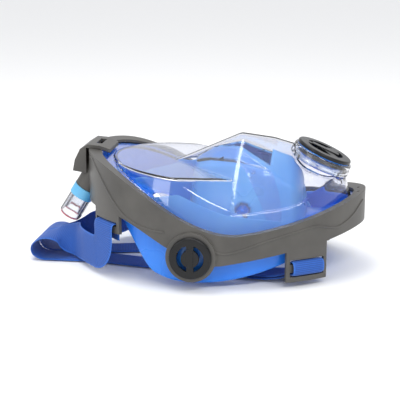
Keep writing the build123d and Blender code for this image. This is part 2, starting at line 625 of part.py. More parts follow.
def cup_side(side):
    """Plane on the cup's flank where a check valve sits, facing outwards."""
    ahead, behind = CUP_SLICES[2], CUP_SLICES[3]
    share = (CUP_VALVE_X - ahead[0]) / (behind[0] - ahead[0])
    row = [a + (b - a) * share for a, b in zip(ahead, behind)]
    fall, reach = row[3] - row[5], row[4] - row[2]
    slant = hypot(fall, reach)
    return Plane(
        origin=(CUP_VALVE_X, side * (row[2] + 2 * row[4]) / 3, (row[3] + 2 * row[5]) / 3), x_dir=(1, 0, 0),
        z_dir=(0, side * fall / slant, reach / slant))


with BuildPart() as oronasal_cup:
    add(bulge(CUP_SLICES, 0))
    add(bulge(CUP_SLICES, CUP_WALL), mode=Mode.SUBTRACT)
    add(under_seal(SEAL_THICK + 0.8), mode=Mode.SUBTRACT)
    with BuildSketch(Plane.XY.offset(60)):
        Polygon((18, 0), (68, 26), (68, -26), align=None)
    extrude(amount=SPAN, mode=Mode.SUBTRACT)
    for side in (1, -1):
        add(round_bar(cup_side(side), CUP_VALVE_R + 0.6, -8, 8), mode=Mode.SUBTRACT)
finish(oronasal_cup.part, "oronasal_cup")

with BuildPart() as cup_retainer:
    add(bulge(CUP_SLICES, -FIT_GAP - RETAINER_THICK))
    add(bulge(CUP_SLICES, -FIT_GAP), mode=Mode.SUBTRACT)
    with BuildPart(mode=Mode.PRIVATE) as arms:
        with BuildSketch(Plane.XY.offset(60)):
            for side in (1, -1):
                slant = radians(RETAINER_ANGLE)
                middle = (RETAINER_LENGTH / 2 * cos(slant), side * RETAINER_LENGTH / 2 * sin(slant), 0)
                with Locations(Location(middle, (0, 0, side * RETAINER_ANGLE))):
                    SlotOverall(RETAINER_LENGTH, RETAINER_WIDTH)
        extrude(amount=SPAN)
    add(arms.part, mode=Mode.INTERSECT)
finish(cup_retainer.part, "cup_retainer")

for name, side in (("left", 1), ("right", -1)):
    plane = cup_side(side)
    with BuildPart() as cup_valve_seat:
        with BuildSketch(plane.offset(-CUP_WALL)):
            Circle(CUP_VALVE_R + 0.5)
            Circle(CUP_VALVE_R - 1.4, mode=Mode.SUBTRACT)
            for turn in (0, 90):
                with Locations(Location((0, 0, 0), (0, 0, turn))):
                    Rectangle(2 * CUP_VALVE_R - 1, 1.6)
        extrude(amount=CUP_WALL + 1.2)
        with BuildSketch(plane.offset(2 * FIT_GAP)):
            Circle(CUP_VALVE_R + 1.8)
            Circle(CUP_VALVE_R - 1.4, mode=Mode.SUBTRACT)
        extrude(amount=1.2)
        add(round_bar(plane, 0.95, -9, 9), mode=Mode.SUBTRACT)
    finish(cup_valve_seat.part, f"{name}_cup_valve_seat")
    with BuildPart() as cup_valve_flap:
        add(round_bar(plane, CUP_VALVE_R - 0.6, -CUP_WALL - RUN_GAP - 0.8, -CUP_WALL - RUN_GAP))
        add(round_bar(plane, 0.85, -CUP_WALL - RUN_GAP, 3.9))
        add(round_bar(plane, 1.5, 3.0, 3.9))
    finish(cup_valve_flap.part, f"{name}_cup_valve_flap")

# ---------------------------------------------------------------- drain valve and side valves
COVER_BARS = ((90, 5.0), (215, 8.0), (325, 8.0))
finish(valve_seat(DRAIN_PLANE, DRAIN_BORE), "chin_valve_seat")
finish(valve_disc(DRAIN_PLANE, DRAIN_BORE, "chin_valve_flap"), "chin_valve_flap")
finish(sealing_ring(DRAIN_PLANE, DRAIN_BORE, DRAIN_COVER_R), "chin_valve_seal")
finish(valve_cover(DRAIN_PLANE, DRAIN_BORE, DRAIN_COVER_R, 0.3, COVER_BARS), "chin_valve_cover")
for name, plane in TEMPLE_PLANES.items():
    finish(valve_seat(plane, TEMPLE_BORE, TEMPLE_SPOUT), f"{name}_valve_seat")
    finish(valve_disc(plane, TEMPLE_BORE, f"{name}_valve_flap"), f"{name}_valve_flap")
    finish(sealing_ring(plane, TEMPLE_BORE, TEMPLE_COVER_R), f"{name}_valve_seal")
    finish(valve_cover(plane, TEMPLE_BORE, TEMPLE_COVER_R, 0.66, ((90, 6.0), (270, 6.0))),
           f"{name}_valve_cover")


# ---------------------------------------------------------------- harness
def ribbon(stations):
    """Flat webbing through the stations, each a middle point and the direction of the width."""
    steps = 3
    middles, widths = [], []
    for i in range(len(stations) - 1):
        before, here = stations[max(i - 1, 0)], stations[i]
        ahead, beyond = stations[i + 1], stations[min(i + 2, len(stations) - 1)]
        for step in range(steps):
            share = step / steps
            for kind, made in ((0, middles), (1, widths)):
                a, b, c, d = (Vector(*row[kind]) for row in (before, here, ahead, beyond))
                made.append(
                    b + (c - a) * (0.5 * share) + (a * 2 - b * 5 + c * 4 - d) * (0.5 * share**2)
                    + (b * 3 - a - c * 3 + d) * (0.5 * share**3))
    middles.append(Vector(*stations[-1][0]))
    widths.append(Vector(*stations[-1][1]))
    slices = []
    for i, middle in enumerate(middles):
        along = middles[min(i + 1, len(middles) - 1)] - middles[max(i - 1, 0)]
        with BuildSketch(Plane(origin=middle, x_dir=widths[i], z_dir=along), mode=Mode.PRIVATE) as made:
            Rectangle(STRAP_WIDTH, STRAP_THICK)
        slices.append(made.sketch)
    return loft(slices, ruled=True, mode=Mode.PRIVATE)


def strap_stations():
    """The left strap's route, from its end at the crown lug, round behind the forehead, to the jaw lug and back."""
    stations = []
    spot, out, along = CROWN_PLACE
    slot = CROWN_SLOT_Z
    inside = -FRAME_WALL - STRAP_THICK - 0.9
    outside = STRAP_THICK + 0.6
    for away, z in (
        (inside, slot - 15), (inside, slot - 10), (inside, slot - 4.5), (inside + 1.3, slot - 0.7), (-1.5, slot + 0.1),
        (1.3, slot - 1), (outside, slot - 5), (outside, slot - 9), (outside, slot - 13.5),
    ):
        stations.append((spot + out * away + Vector(0, 0, z), along))
    turn_r, top = 17.0, slot - 13.5
    for angle in (22.5, 45.0, 67.5, 90.0):
        bend = radians(angle)
        stations.append((
            spot + out * outside - along * (turn_r * (1 - cos(bend))) + Vector(0, 0, top - turn_r * sin(bend)),
            along * cos(bend) - Vector(0, 0, sin(bend))))
    loop_x = STRAP_THICK / 2 - CHIN_X
    edge = top - turn_r
    for point, width in (
        ((-96, 43, edge), (0, 0, -1)), ((-104, 30, edge - 0.5), (0, 0.15, -0.99)),
        ((-112, 19, edge + 0.5), (0, 0.45, -0.89)), ((-122, 15, edge + 2), (0, 0.86, -0.5)),
        ((-132, 15.4, edge + 2.5), (0, 1, -0.1)), ((loop_x + 9.5, 15.4, edge + 1), (0, 1, 0)),
        ((loop_x + 2, 15.4, edge - 4), (0, 1, 0)), ((loop_x, 15.4, edge - 9.5), (0, 1, 0)),
        ((loop_x + 2.5, 15.4, 4.6), (0, 1, 0)), ((loop_x + 10, 15.4, 1.2), (0, 1, 0)),
        ((loop_x + 20, 15.4, 1.1), (0, 1, 0)), ((-98, 15.4, 1.1), (0, 1, 0)), ((-82, 16.6, 1.1), (-0.15, 0.99, 0)),
    ):
        stations.append((Vector(*point), Vector(*width)))
    for x, z in ((-40, 1.2), (-15, 2.3), (RUN_TO[0], 2.3)):
        stations.append((run_point(x, z), RUN_WIDTH))
    turn_in = [(Vector(JAW_LUG_X - 28.5, 52.4, 3.2), Vector(-0.35, 0.94, 0)), (Vector(JAW_LUG_X - 16.5, 54.6, 5.2), Vector(-0.6, 0.8, 0))]
    stations += turn_in
    spot, out, along = JAW_PLACE
    low, high = LOW_SLOT_Z, HIGH_SLOT_Z
    for away, z in (
        (-14, low - 4), (-8, low - 1.6), (-3.5, low - 0.1), (0.2, low), (outside, low + 2.2), (outside + 0.4, (low + high) / 2),
        (outside, high - 2.2), (0.2, high), (-3.6, high - 0.1), (-6.3, high - 2.4), (-7.2, high - 6), (-9.5, high - 9),
        (-14, high - 12.1),
    ):
        stations.append((spot + out * away + Vector(0, 0, z), along * -1))
    over = Vector(0, 0, STRAP_THICK + 0.75)
    stations += [(point + over, width) for point, width in reversed(turn_in)]
    stations += [(run_point(RUN_TO[0], 2.3) + over, RUN_WIDTH), (run_point(5, 2.3) + over, RUN_WIDTH)]
    return [(tuple(point), tuple(width)) for point, width in stations]


# the straight run of the lower band, under the mask
RUN_FROM = (-80.0, 16.8)
RUN_TO = (JAW_LUG_X - 44.5, 48.8)
RUN_SLOPE = (RUN_TO[1] - RUN_FROM[1]) / (RUN_TO[0] - RUN_FROM[0])
RUN_ALONG = Vector(1, RUN_SLOPE, 0).normalized()
RUN_WIDTH = Vector(-RUN_SLOPE, 1, 0).normalized()
KEEPER_X = 30.0


def run_point(x, z):
    return Vector(x, RUN_FROM[1] + RUN_SLOPE * (x - RUN_FROM[0]), z)


left_strap = ribbon(strap_stations())
right_strap = mirror(left_strap, about=Plane.XZ, mode=Mode.PRIVATE)
finish(left_strap, "strap_left")
finish(right_strap, "strap_right")

inner_high = 2 * STRAP_THICK + 1.4
with BuildPart() as keeper:
    with BuildSketch(Plane(origin=run_point(KEEPER_X, KEEPER_WALL + inner_high / 2), x_dir=RUN_WIDTH, z_dir=RUN_ALONG)):
        RectangleRounded(STRAP_WIDTH + 1 + 2 * KEEPER_WALL, inner_high + 2 * KEEPER_WALL, KEEPER_WALL)
        Rectangle(STRAP_WIDTH + 1, inner_high, mode=Mode.SUBTRACT)
    extrude(amount=KEEPER_LENGTH / 2, both=True)
finish(keeper.part, "keeper_left")
finish(mirror(keeper.part, about=Plane.XZ, mode=Mode.PRIVATE), "keeper_right")
print("keeper slides along", tuple(RUN_ALONG))
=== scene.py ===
# %% [markdown]
# # A full-face snorkel mask
# A clear dome is clamped between a stiff grey frame and a soft blue skirt, with a nose cup inside,
# valves at the chin and temples, a snorkel port at the crown and a webbing harness behind.
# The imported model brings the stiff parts. Blender adds the soft ones, the smooth lens and the finishes.

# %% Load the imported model
import json
import math

import bmesh
import bpy
import numpy as np
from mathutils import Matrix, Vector


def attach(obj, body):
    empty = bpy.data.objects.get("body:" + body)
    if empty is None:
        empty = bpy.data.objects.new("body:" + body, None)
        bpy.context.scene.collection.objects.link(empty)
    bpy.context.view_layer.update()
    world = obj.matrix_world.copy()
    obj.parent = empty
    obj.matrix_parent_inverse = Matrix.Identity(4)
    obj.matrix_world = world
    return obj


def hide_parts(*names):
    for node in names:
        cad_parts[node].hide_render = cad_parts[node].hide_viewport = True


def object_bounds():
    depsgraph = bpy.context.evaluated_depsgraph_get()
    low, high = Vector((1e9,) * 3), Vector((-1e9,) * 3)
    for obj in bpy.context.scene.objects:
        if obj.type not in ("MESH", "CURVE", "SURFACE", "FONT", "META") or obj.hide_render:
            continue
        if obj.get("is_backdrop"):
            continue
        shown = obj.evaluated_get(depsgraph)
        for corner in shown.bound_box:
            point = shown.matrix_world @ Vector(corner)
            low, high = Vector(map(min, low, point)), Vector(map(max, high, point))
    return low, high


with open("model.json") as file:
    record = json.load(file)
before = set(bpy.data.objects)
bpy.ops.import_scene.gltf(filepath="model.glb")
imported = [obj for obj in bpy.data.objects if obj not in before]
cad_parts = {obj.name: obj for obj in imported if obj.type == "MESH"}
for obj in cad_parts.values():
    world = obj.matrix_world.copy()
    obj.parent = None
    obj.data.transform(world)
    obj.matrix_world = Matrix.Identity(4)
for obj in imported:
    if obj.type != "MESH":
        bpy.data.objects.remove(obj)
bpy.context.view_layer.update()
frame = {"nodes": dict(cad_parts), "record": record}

# %% [markdown]
# ## Making a mesh from a grid
# Every new piece is a grid of points worked out by numpy. Each cell of the grid becomes one face.
# The sizes below are in millimetres, as on a drawing, and MM turns them to Blender's metres.

# %% Grid to mesh
MM = 0.001
BODY_OF = {node: body for body, nodes in frame["record"]["behaviour"]["bodies"].items() for node in nodes}


def cells(rows, cols, around, along):
    """Corner numbers of each cell. around joins the last column to the first, along the last row."""
    ids = np.arange(rows * cols).reshape(rows, cols)
    if around:
        ids = np.hstack([ids, ids[:, :1]])
    if along:
        ids = np.vstack([ids, ids[:1]])
    return np.stack([ids[:-1, :-1], ids[:-1, 1:], ids[1:, 1:], ids[1:, :-1]], axis=-1).reshape(-1, 4)


def from_axis(points, place):
    """Height along a place's axis, distance from that axis and the direction away from it."""
    origin, facing = place[0], place[3]
    gap = points - origin
    high = gap @ facing
    away = gap - high[..., None] * facing
    reach = np.maximum(np.linalg.norm(away, axis=-1), 1e-6)
    return high, reach, away / reach[..., None]


def piece(name, grids, material, node=None, around=True, along=False, caps=False,
          closed=True, weave=None, drop=None, holes=(), sharp=35):
    """An object from one or more grids of points in mm, (rows, columns, 3) each.
    drop marks cells to leave out, and holes are the (place, radius) rims that are bridged through a wall."""
    points, faces, base = [], [], 0
    for grid in grids:
        rows, cols = grid.shape[:2]
        made = cells(rows, cols, around, along)
        if drop is not None:
            made = made[~drop(grid.reshape(-1, 3)[made].mean(axis=1))]
        faces += (made + base).tolist()
        if caps:
            last = base + (rows - 1) * cols
            faces += [list(range(base, base + cols))[::-1], list(range(last, last + cols))]
        points.append(grid.reshape(-1, 3))
        base += rows * cols
    mesh = bpy.data.meshes.new(name)
    mesh.from_pydata((np.vstack(points) * MM).tolist(), [], faces)
    if weave is not None:
        held = mesh.attributes.new("weave", "FLOAT_VECTOR", "POINT")
        held.data.foreach_set("vector", np.vstack([w.reshape(-1, 3) for w in weave]).ravel())
    shape = bmesh.new()
    shape.from_mesh(mesh)
    bmesh.ops.remove_doubles(shape, verts=shape.verts, dist=0.002 * MM)
    loose = [v for v in shape.verts if not v.link_faces]
    bmesh.ops.delete(shape, geom=loose, context="VERTS")
    for place, radius in holes:
        rim = [e for e in shape.edges if e.is_boundary and
               from_axis(np.array(e.verts[0].co) / MM, place)[1] < radius + 2]
        bmesh.ops.bridge_loops(shape, edges=rim)
    bmesh.ops.recalc_face_normals(shape, faces=shape.faces)
    if not closed:
        middle = sum((f.calc_center_median() for f in shape.faces), Vector()) / len(shape.faces)
        if sum(f.normal.dot(f.calc_center_median() - middle) * f.calc_area() for f in shape.faces) < 0:
            bmesh.ops.reverse_faces(shape, faces=shape.faces)
    open_edges = sum(e.is_boundary for e in shape.edges)
    shape.to_mesh(mesh)
    shape.free()
    mesh.shade_smooth()
    mesh.set_sharp_from_angle(angle=math.radians(sharp))
    mesh.materials.append(material)
    thing = bpy.data.objects.new(name, mesh)
    bpy.context.scene.collection.objects.link(thing)
    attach(thing, BODY_OF[node] if node else "mask")
    if node:
        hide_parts(node)
    print(f"{name}: {len(mesh.polygons)} faces, {open_edges} open edges")
    return thing


# %% [markdown]
# ## Curves and profiles
# A profile is a closed polygon with its corners rounded. It is carried along a path or spun round an axis.

# %% Profiles and sweeps
def soft(corners, reach, steps=5):
    """A closed polygon whose corners are quadratic curves that start and end a reach from them."""
    spot = np.asarray(corners, float)

    def toward(other):
        gap = other - spot
        size = np.linalg.norm(gap, axis=1, keepdims=True)
        return spot + gap / size * np.minimum(reach, size * 0.45)

    start, end = toward(np.roll(spot, 1, axis=0)), toward(np.roll(spot, -1, axis=0))
    t = np.linspace(0, 1, steps)[None, :, None]
    curve = (1 - t) ** 2 * start[:, None] + 2 * t * (1 - t) * spot[:, None] + t**2 * end[:, None]
    return curve.reshape(-1, 2)


def flow(points, steps):
    """A curve through every point, with one cubic per stretch, headed as its neighbours say."""
    p = np.vstack([2 * points[0] - points[1], points, 2 * points[-1] - points[-2]])
    a, b, c, d = (q[:, None] for q in (p[:-3], p[1:-2], p[2:-1], p[3:]))
    t = np.linspace(0, 1, steps, endpoint=False)[None, :, None]
    run = (b + (c - a) * (t / 2) + (2 * a - 5 * b + 4 * c - d) * (t**2 / 2)
           + (3 * b - a - 3 * c + d) * (t**3 / 2))
    return np.vstack([run.reshape(-1, points.shape[1]), points[-1:]])


def unit(v):
    return v / np.linalg.norm(v, axis=-1, keepdims=True)


def place_of(origin, across, facing):
    """Origin and three square directions: across, up and facing."""
    across, facing = unit(np.array(across, float)), unit(np.array(facing, float))
    return np.array(origin, float), across, np.cross(facing, across), facing


def spun(place, profile, steps=96):
    """Profile of (radius, height) turned once round a place's axis."""
    origin, across, up, facing = place
    turn = np.linspace(0, 2 * np.pi, steps, endpoint=False)[:, None]
    away = np.cos(turn) * across + np.sin(turn) * up
    profile = np.asarray(profile, float)
    return origin + profile[None, :, :1] * away[:, None] + profile[None, :, 1:] * facing


def swept(path, side, up, profile):
    """Profile of (side, up) offsets carried along a path."""
    return path[:, None] + profile[None, :, :1] * side[:, None] + profile[None, :, 1:] * up[:, None]


def tube(path, radius, sides=8):
    """A round cord along a path: a circle square to the path at each point."""
    ahead = unit(np.gradient(path, axis=0))
    side = unit(np.cross(ahead, np.array([0.13, 0.21, 0.97])))
    turn = np.linspace(0, 2 * np.pi, sides, endpoint=False)
    return swept(path, side, np.cross(ahead, side), radius * np.stack([np.cos(turn), np.sin(turn)], axis=1))


# %% [markdown]
# ## The mask's outline
# Seen from the front the mask is made of arcs: half a circle at the crown, a long arc down each cheek,
# a jaw arc and a chin arc. An inset line is the same arcs with every radius smaller.

# %% Outline and heights
CROWN_R, CHEEK_R, JAW_R, CHIN_R = 98.5, 212.0, 117.9, 46.0
CHIN_X = 151.9
MASK_LENGTH = CHIN_X + CROWN_R
RIM_CROWN_Z, RIM_CHEEK_Z, RIM_CHIN_Z, RIM_LOW_X, RIM_RISE = 105.0, 47.5, 72.0, 45.0, 1.35
SEAL_CROWN_Z, SEAL_CHIN_Z, SEAL_DROP, SEAL_HALF = 62.0, 44.0, 54.9, 88.5
ARCS = np.array([  # centre x and y, radius, first and last turn in degrees, from the chin to the crown
    (CHIN_X - CHIN_R, 0, CHIN_R, 0, 23.1), (39.77, -28.22, JAW_R, 23.1, 65),
    (0, CROWN_R - CHEEK_R, CHEEK_R, 65, 90), (0, 0, CROWN_R, 90, 180)])


def outline(count):
    """Arc centres, radii and outward directions at equal steps: chin to crown and back by the right."""
    x, y, radius, first, last = ARCS.T
    length = radius * np.radians(last - first)
    ends = np.cumsum(length)
    way = np.linspace(0, ends[-1], count // 2 + 1)
    i = np.minimum(np.searchsorted(ends, way), 3)
    turn = np.radians(first[i]) + (way - (ends - length)[i]) / radius[i]
    out = np.stack([np.cos(turn), np.sin(turn)], axis=1)
    middle = np.stack([x[i], y[i]], axis=1)
    back, mirror = slice(-2, 0, -1), np.array([1, -1])
    return (np.vstack([middle, middle[back] * mirror]), np.hstack([radius[i], radius[i][back]]),
            np.vstack([out, out[back] * mirror]))


def inset(line, depth):
    """The outline drawn in by a depth."""
    middle, radius, out = line
    return middle + (radius - depth)[:, None] * out


def flank(x):
    """Half-width and outward direction of the outline at x."""
    middle, radius, out = outline(800)
    edge, half = inset((middle, radius, out), 0), slice(400, None, -1)
    width = np.interp(x, edge[half, 0], edge[half, 1])
    away = unit(np.stack([np.interp(x, edge[half, 0], out[half, k]) for k in (0, 1)], axis=-1))
    return width, away


def smooth(share):
    share = np.clip(share, 0, 1)
    return share * share * (3 - 2 * share)


def rim_z(x):
    """Height of the frame's front edge: high at the crown, low beside the cheeks, rising to the chin."""
    climb = (RIM_CROWN_Z - RIM_CHEEK_Z) * smooth((RIM_LOW_X - x) / (RIM_LOW_X + CROWN_R))
    rise = np.maximum((x - RIM_LOW_X) / (CHIN_X - RIM_LOW_X), 0) ** RIM_RISE
    return RIM_CHEEK_Z + climb + (RIM_CHIN_Z - RIM_CHEEK_Z) * rise


def seal_z(x, y):
    """Height of the face seal, which falls away towards the temples as a face does."""
    drop = SEAL_DROP * smooth((x + 75) / 50) * (1 - 0.5 * smooth((x - 90) / 50))
    middle = SEAL_CROWN_Z - (SEAL_CROWN_Z - SEAL_CHIN_Z) * (x + CROWN_R) / MASK_LENGTH
    return np.maximum(middle - drop * (y / SEAL_HALF) ** 2, 0)


def lower_of(a, b, blend):
    """The lower of two heights, with the crease between them rounded over the blend."""
    return np.minimum(a, b) - np.maximum(blend - np.abs(a - b), 0) ** 2 / (4 * blend)


def upper_of(a, b, blend):
    return -lower_of(-a, -b, blend)


STEEP = 6.0   # fall per millimetre beyond a bulge's feet


def bulge(slices, x, y, blur=2.4):
    """Height of a ridged form given by slices of (x, ridge z, shoulder y and z, foot y and z).
    Straight lines join the slices, and the mean of nine near places rounds their creases."""
    total = 0
    for dx in (-blur, 0, blur):
        for dy in (-blur, 0, blur):
            at, side = x + dx, np.abs(y + dy)
            ridge, wide, high, foot, low = (np.interp(at, slices[:, 0], slices[:, k]) for k in range(1, 6))
            upper = ridge + (high - ridge) * side / wide
            lower = high + (low - high) * (side - wide) / (foot - wide)
            height = np.where(side < wide, upper, np.where(side < foot, lower, low - STEEP * (side - foot)))
            beyond = np.maximum(slices[0, 0] - at, 0) + np.maximum(at - slices[-1, 0], 0)
            total = total + height - STEEP * beyond
    return total / 9


TEMPLE_X = 8.0
half_width, _ = flank(np.array([TEMPLE_X]))
print("half-width at the temples, mm:", np.round(half_width, 1),
      "rim at the chin:", round(float(rim_z(CHIN_X)), 1))

# %% [markdown]
# ## Colours and nodes
# Hex values are sRGB, which screens use, and shaders add up light, so one function turns one to the other.

# %% Node helper
def linear(code, alpha=1.0):
    """sRGB hex to linear light: the low end is a straight line, the rest a power of 2.4."""
    part = np.array([int(code[i:i + 2], 16) for i in (1, 3, 5)]) / 255
    light = np.where(part <= 0.04045, part / 12.92, ((part + 0.055) / 1.055) ** 2.4)
    return (*light.tolist(), alpha)


def add(tree, kind, inputs=None, **settings):
    """One shader node. inputs maps a socket to a value, or to another node's output, which is linked."""
    made = tree.nodes.new("ShaderNode" + kind)
    for key, value in settings.items():
        setattr(made, key, value)
    for key, value in (inputs or {}).items():
        if isinstance(value, bpy.types.NodeSocket):
            tree.links.new(value, made.inputs[key])
        else:
            made.inputs[key].default_value = value
    return made


def finish(name, **sockets):
    """A material with one Principled shader, its tree and its output node."""
    made = bpy.data.materials.new(name)
    made.use_nodes = True
    tree = made.node_tree
    tree.nodes.clear()
    shader = add(tree, "BsdfPrincipled", {key.replace("_", " "): value for key, value in sockets.items()})
    out = add(tree, "OutputMaterial", {"Surface": shader.outputs[0]})
    return made, tree, shader, out


# %% [markdown]
# ## Moulded plastic
# The frame is ABS, injection moulded in a spark-eroded tool. That leaves a fine even grain, satin faces
# and edges that are slightly rounded, rubbed smooth and lighter. The Bevel node finds those edges.

# %% Moulded ABS
def moulded(name, colour, worn, roughness, gleam=0.5, grain=0.35, edge=0.7):
    """Satin plastic: grain and edge radius are in millimetres."""
    made, tree, shader, _ = finish(name, Roughness=roughness, IOR=1.53, Specular_IOR_Level=gleam)
    where = add(tree, "TexCoord").outputs["Object"]
    speck = add(tree, "TexNoise", {"Vector": where, "Scale": 1 / (grain * MM), "Detail": 2.0})
    flow_mark = add(tree, "TexNoise", {"Vector": where, "Scale": 1 / (35 * MM), "Detail": 3.0})
    rounded = add(tree, "Bevel", {"Radius": edge * MM}, samples=6)
    flat = add(tree, "NewGeometry").outputs["Normal"]
    turn = add(tree, "VectorMath", {0: rounded.outputs[0], 1: flat}, operation="DOT_PRODUCT")
    rub = add(tree, "MapRange", {0: turn.outputs["Value"], 1: 0.985, 2: 0.8, 3: 0.0, 4: 0.8})
    shade = add(tree, "MapRange", {0: flow_mark.outputs[0], 1: 0.35, 2: 0.65, 3: 0.0, 4: 0.35})
    tone = add(tree, "Mix", {0: shade.outputs[0], 6: linear(colour), 7: linear(worn)}, data_type="RGBA")
    skin = add(tree, "Mix", {0: rub.outputs[0], 6: tone.outputs[2], 7: linear(worn)}, data_type="RGBA")
    gloss = add(tree, "MapRange", {0: flow_mark.outputs[0], 1: 0.3, 2: 0.7,
                                   3: roughness - 0.05, 4: roughness + 0.06})
    bump = add(tree, "Bump", {"Height": speck.outputs[0], "Strength": 0.25, "Distance": 0.04 * MM,
                              "Normal": rounded.outputs[0]})
    for output, socket in ((skin.outputs[2], "Base Color"), (gloss.outputs[0], "Roughness"),
                           (bump.outputs[0], "Normal")):
        tree.links.new(output, shader.inputs[socket])
    return made


grey_abs = moulded("moulded_abs_grey", "#454340", "#66645f", 0.42, 0.4)
black_abs = moulded("moulded_abs_black", "#070708", "#1c1d1f", 0.28, 0.3)
band_abs = moulded("moulded_abs_light_blue", "#4aa6d8", "#8fcbe8", 0.3)
seat_abs = moulded("moulded_abs_blue", "#2f86ea", "#6aa9f0", 0.35)

# %% [markdown]
# ## Clear plastic
# The lens is polycarbonate, moulded and polished: no grain, only a slow waviness that bends reflections.
# Real lamps shine through it, so shadow rays meet a plain transparent shader instead of glass.

# %% Clear polycarbonate and PVC
def clear(name, tint, roughness, ior, wave):
    """Clear plastic with waves of the given size in millimetres."""
    made, tree, shader, out = finish(name, Base_Color=linear(tint), Roughness=roughness, IOR=ior,
                                     Transmission_Weight=1.0)
    where = add(tree, "TexCoord").outputs["Object"]
    ripple = add(tree, "TexNoise", {"Vector": where, "Scale": 1 / (wave * MM), "Detail": 1.0})
    bump = add(tree, "Bump", {"Height": ripple.outputs[0], "Strength": 0.2, "Distance": 0.25 * MM})
    tree.links.new(bump.outputs[0], shader.inputs["Normal"])
    path = add(tree, "LightPath")
    lit = add(tree, "Math", {0: path.outputs["Is Shadow Ray"], 1: path.outputs["Is Diffuse Ray"]},
              operation="MAXIMUM")
    through = add(tree, "BsdfTransparent", {"Color": linear(tint)})
    mixed = add(tree, "MixShader", {0: lit.outputs[0], 1: shader.outputs[0], 2: through.outputs[0]})
    tree.links.new(mixed.outputs[0], out.inputs["Surface"])
    return made


lens_pc = clear("polished_polycarbonate_clear", "#f4f5fa", 0.015, 1.585, 30)
port_pc = clear("moulded_polycarbonate_port", "#eef0f4", 0.08, 1.585, 6)
retainer_pc = clear("moulded_polycarbonate_retainer", "#e6f0fa", 0.05, 1.585, 8)

# %% [markdown]
# ## Silicone rubber
# Liquid silicone is moulded in a polished tool, then cured. Light goes a few millimetres into it and comes
# out again, so it glows a little and its thin edges are paler. Its surface is smooth with a soft gloss.

# %% Silicone
def silicone(name, colour, deep, through, roughness=0.3):
    """Translucent rubber: colour and deep are mixed in slow random clouds, and through is the clear share.
    """
    made, tree, shader, _ = finish(
        name, Roughness=roughness, IOR=1.41, Subsurface_Weight=0.35, Subsurface_Scale=4 * MM,
        Subsurface_Radius=(0.35, 0.7, 1.0), Transmission_Weight=through,
        Coat_Weight=0.25, Coat_Roughness=0.15)
    where = add(tree, "TexCoord").outputs["Object"]
    cloud = add(tree, "TexNoise", {"Vector": where, "Scale": 1 / (45 * MM), "Detail": 2.0})
    share = add(tree, "MapRange", {0: cloud.outputs[0], 1: 0.35, 2: 0.65, 3: 0.0, 4: 1.0})
    tone = add(tree, "Mix", {0: share.outputs[0], 6: linear(colour), 7: linear(deep)}, data_type="RGBA")
    gloss = add(tree, "MapRange", {0: cloud.outputs[0], 1: 0.3, 2: 0.7,
                                   3: roughness - 0.06, 4: roughness + 0.08})
    for output, socket in ((tone.outputs[2], "Base Color"), (gloss.outputs[0], "Roughness")):
        tree.links.new(output, shader.inputs[socket])
    return made


blue_silicone = silicone("cured_silicone_blue", "#2e86ee", "#2478e0", 0.1)
cup_silicone = silicone("cured_silicone_pale_blue", "#6fb6f2", "#55a2ea", 0.2)
red_silicone = silicone("cured_silicone_red", "#d8707a", "#c9525e", 0.4)

# %% [markdown]
# ## Stainless steel
# The chin screws are turned from stainless bar, which leaves fine rings round their heads.

# %% Steel
steel, tree, shader, _ = finish("turned_stainless_steel", Metallic=1.0, Roughness=0.28)
shader.inputs["Base Color"].default_value = linear("#c9c8c4")
where = add(tree, "TexCoord").outputs["Object"]
rings = add(tree, "TexNoise", {"Vector": where, "Scale": 1 / (0.5 * MM), "Detail": 2.0})
scratch = add(tree, "Bump", {"Height": rings.outputs[0], "Strength": 0.2, "Distance": 0.03 * MM})
tree.links.new(scratch.outputs[0], shader.inputs["Normal"])

# %% [markdown]
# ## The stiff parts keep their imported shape
# Their shapes are right, so they only get their finishes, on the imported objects' own material slots.

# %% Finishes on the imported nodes
WEARS = {
    grey_abs: ("frame_left", "frame_right", "forehead_bracket"),
    black_abs: ("chin_valve_cover", "left_valve_cover", "right_valve_cover"),
    band_abs: ("port_band",), seat_abs: ("left_valve_seat", "right_valve_seat"),
    port_pc: ("port_tube",), retainer_pc: ("left_cup_valve_seat", "right_cup_valve_seat", "chin_valve_seat"),
    steel: ("chin_screws",),
}
for material, nodes in WEARS.items():
    for node in nodes:
        for held in frame["nodes"][node].material_slots:
            held.material = material
print("finished packed nodes:", sum(len(nodes) for nodes in WEARS.values()))

# %% [markdown]
# ## The lens
# The dome is one moulding: a leaning side wall, a flat window for the eyes, shoulders that fall away
# beside it and a pyramid over the nose. Each of these is a height over the table, and the dome is the
# lowest or highest of them with rounded creases. The same function, 2.4 mm lower, gives the inside.

# %% Lens
LENS_SLICES = np.array([
    (-20.0, 93.0, 6.0, 92.0, 30.0, 86.0), (10.0, 106.5, 31.7, 90.0, 62.0, 80.0),
    (40.0, 120.0, 58.0, 87.0, 88.0, 56.0), (69.0, 116.5, 50.0, 86.0, 88.0, 50.0),
    (105.0, 106.5, 38.0, 84.0, 74.0, 52.0), (152.0, 82.0, 24.0, 72.0, 44.0, 50.0)])
LENS_THICK, LENS_INSET, LENS_BASE_Z = 2.4, 4.6, 35.0
LEAN = math.tan(math.radians(16))
WINDOW_Z, WINDOW_SLOPE = 91.75, 0.0875
FLANGE_DEPTH, DOME_DEPTH = 3.3, 34.0
FLANGE_TOP, FLANGE_FOOT = 2.9, 5.4   # below the frame's front edge


